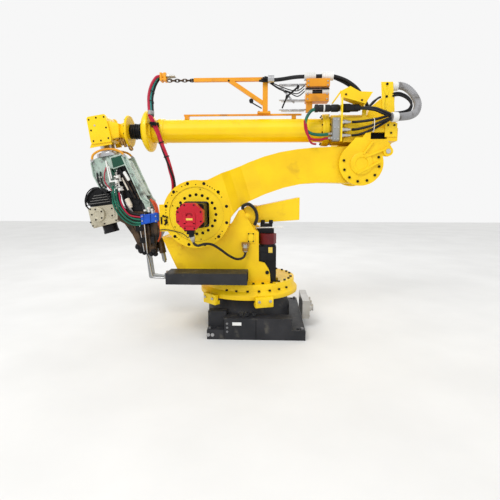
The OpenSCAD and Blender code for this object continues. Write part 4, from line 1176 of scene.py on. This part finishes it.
def detail_gun_body():
    plates = Shape("gun_lower_plates")
    plates.slab([(846, 690), (800, 698), (764, 612), (742, 540), (760, 540), (796, 618)], 63, 72)
    plates.slab([(752, 690), (716, 694), (694, 600), (688, 500), (712, 498), (724, 590)], 63, 76)
    plates.slab([(660, 700), (612, 700), (630, 600), (650, 520), (668, 520), (660, 610)], 63, 70)
    plates.rod((780, 64, 690), (730, 64, 530), 13, 20)
    plates.rod((684, 68, 690), (672, 68, 540), 11, 20)
    plates.make("bronze_metal", "tool", bevel=3)
    blocks = Shape("gun_lower_blocks")
    blocks.box((700, 62, 560), (742, 86, 600))
    blocks.box((640, 62, 560), (668, 84, 606))
    blocks.box((716, 62, 640), (770, 84, 676))
    blocks.make("motor_black", "tool", bevel=4)
    rods = Shape("gun_guide_rods")
    rods.rod((706, 82, 690), (694, 82, 490), 5, 16)
    rods.rod((742, 80, 690), (716, 80, 500), 4, 16)
    rods.make("steel", "tool")
    knobs = Shape("gun_knobs")
    for x, z, radius in ((760, 534, 19), (738, 512, 22), (716, 494, 16), (652, 500, 20),
            (640, 484, 16), (668, 486, 17)):
        knobs.lathe([(0, 0), (0, radius - 3), (3, radius), (18, radius), (21, radius - 3),
                (21, radius * 0.5), (26, radius * 0.45), (26, 0)], (x, 62, z), Y, 20)
    knobs.make("motor_black", "tool")


def detail_gun_lines():
    green = Shape("gun_green_hoses")
    green.tube([(908, 86, 948), (906, 90, 900), (890, 93, 826), (842, 93, 748), (784, 91, 706),
            (728, 88, 700)], 7)
    green.tube([(892, 84, 944), (888, 90, 890), (872, 92, 824), (828, 92, 762), (782, 90, 730),
            (728, 88, 722)], 6)
    green.tube([(920, 76, 936), (918, 80, 880), (908, 84, 812), (862, 86, 738), (796, 84, 690),
            (728, 82, 686)], 6)
    green.make("hose_green", "tool", replaces=["gun_hoses"])
    red = Shape("gun_red_hose")
    red.tube([(868, 86, 904), (860, 92, 850), (838, 93, 794), (800, 92, 752), (728, 90, 738)], 5.5,
            14)
    red.make("hose_crimson", "tool")
    black = Shape("gun_black_hoses")
    black.tube([(880, 80, 930), (874, 86, 880), (856, 90, 812), (814, 90, 756), (770, 86, 722),
            (728, 84, 712)], 7)
    black.tube([(844, 78, 940), (846, 84, 880), (826, 88, 816), (792, 88, 770), (728, 86, 752)], 7,
            14)
    black.tube([(716, 60, 850), (712, 72, 812), (700, 80, 780), (690, 84, 758)], 9)
    black.tube([(606, 70, 716), (600, 66, 670), (612, 62, 620), (630, 56, 580)], 8)
    black.make("cable_black", "tool")
    orange = Shape("gun_orange_cables")
    orange.tube([(662, 68, 858), (642, 74, 830), (626, 80, 794), (622, 84, 762)], 8)
    orange.tube([(646, 70, 850), (624, 76, 826), (612, 82, 790), (610, 84, 762)], 6)
    orange.tube([(614, 76, 712), (602, 70, 660), (606, 62, 610), (626, 52, 570)], 7)
    orange.make("hose_orange", "tool")
    unions = Shape("gun_clamp_unions")
    for x, z in ((700, 790), (676, 806), (652, 796)):
        unions.lathe([(0, 0), (0, 10), (12, 10), (14, 7), (34, 7), (36, 0)], (x, 80, z),
                (-0.1, 0, -1), 16)
    unions.make("label_white", "tool")
    band = Shape("gun_blue_straps")
    band.box((612, 66, 704), (630, 104, 770))
    band.box((704, 66, 690), (722, 104, 758))
    band.box((658, 98, 704), (672, 107, 758))
    band.make("blue_paint", "tool", bevel=2)
    tie = Shape("gun_clamp_screws")
    for x in (621, 713):
        for z in (714, 746):
            tie.bolt((x, 104, z), Y, 5, 5)
    tie.make("steel", "tool")


def detail_electrodes():
    tip = Shape("fixed_electrode_cap")
    holder = Vector((577, 0, 326))
    tip.lathe([(0, 0), (0, 9.4), (8, 9.4), (12, 7), (14.6, 3), (15, 0)], holder - CLOSE * 13.4,
            -CLOSE, 24)
    tip.make("copper", "tool")
    collar = Shape("fixed_electrode_collar")
    collar.lathe([(0, 22.4), (0, 25), (10, 25), (10, 22.4)], holder - CLOSE * 5, CLOSE, 32)
    collar.lathe([(0, 7.2), (0, 10), (16, 10), (18, 7.2)], holder + CLOSE * 46, CLOSE, 20)
    collar.make("grey_metal", "tool")
    tubes = Shape("electrode_arm_water_tubes")
    for y in (-24, 24):
        tubes.tube([(722, y, 486), (706, y, 440), (690, y, 350), (684, y, 320), (664, y, 310),
                (600, y, 307), (586, y * 0.7, 307)], 4.5, 12)
    tubes.make("steel", "tool")


make_camera()
make_stage()
make_materials()
dress_cad()
detail_hub()
detail_shoulder_motor()
detail_cable()
detail_turret()
detail_base()
detail_forearm()
detail_boom()
detail_carriers()
detail_elbow()
detail_manifold()
detail_far_side()
detail_wrist()
detail_dress_hose()
detail_gun_frame()
detail_gun_fittings()
detail_gun_power()
detail_gun_body()
detail_gun_lines()
detail_electrodes()
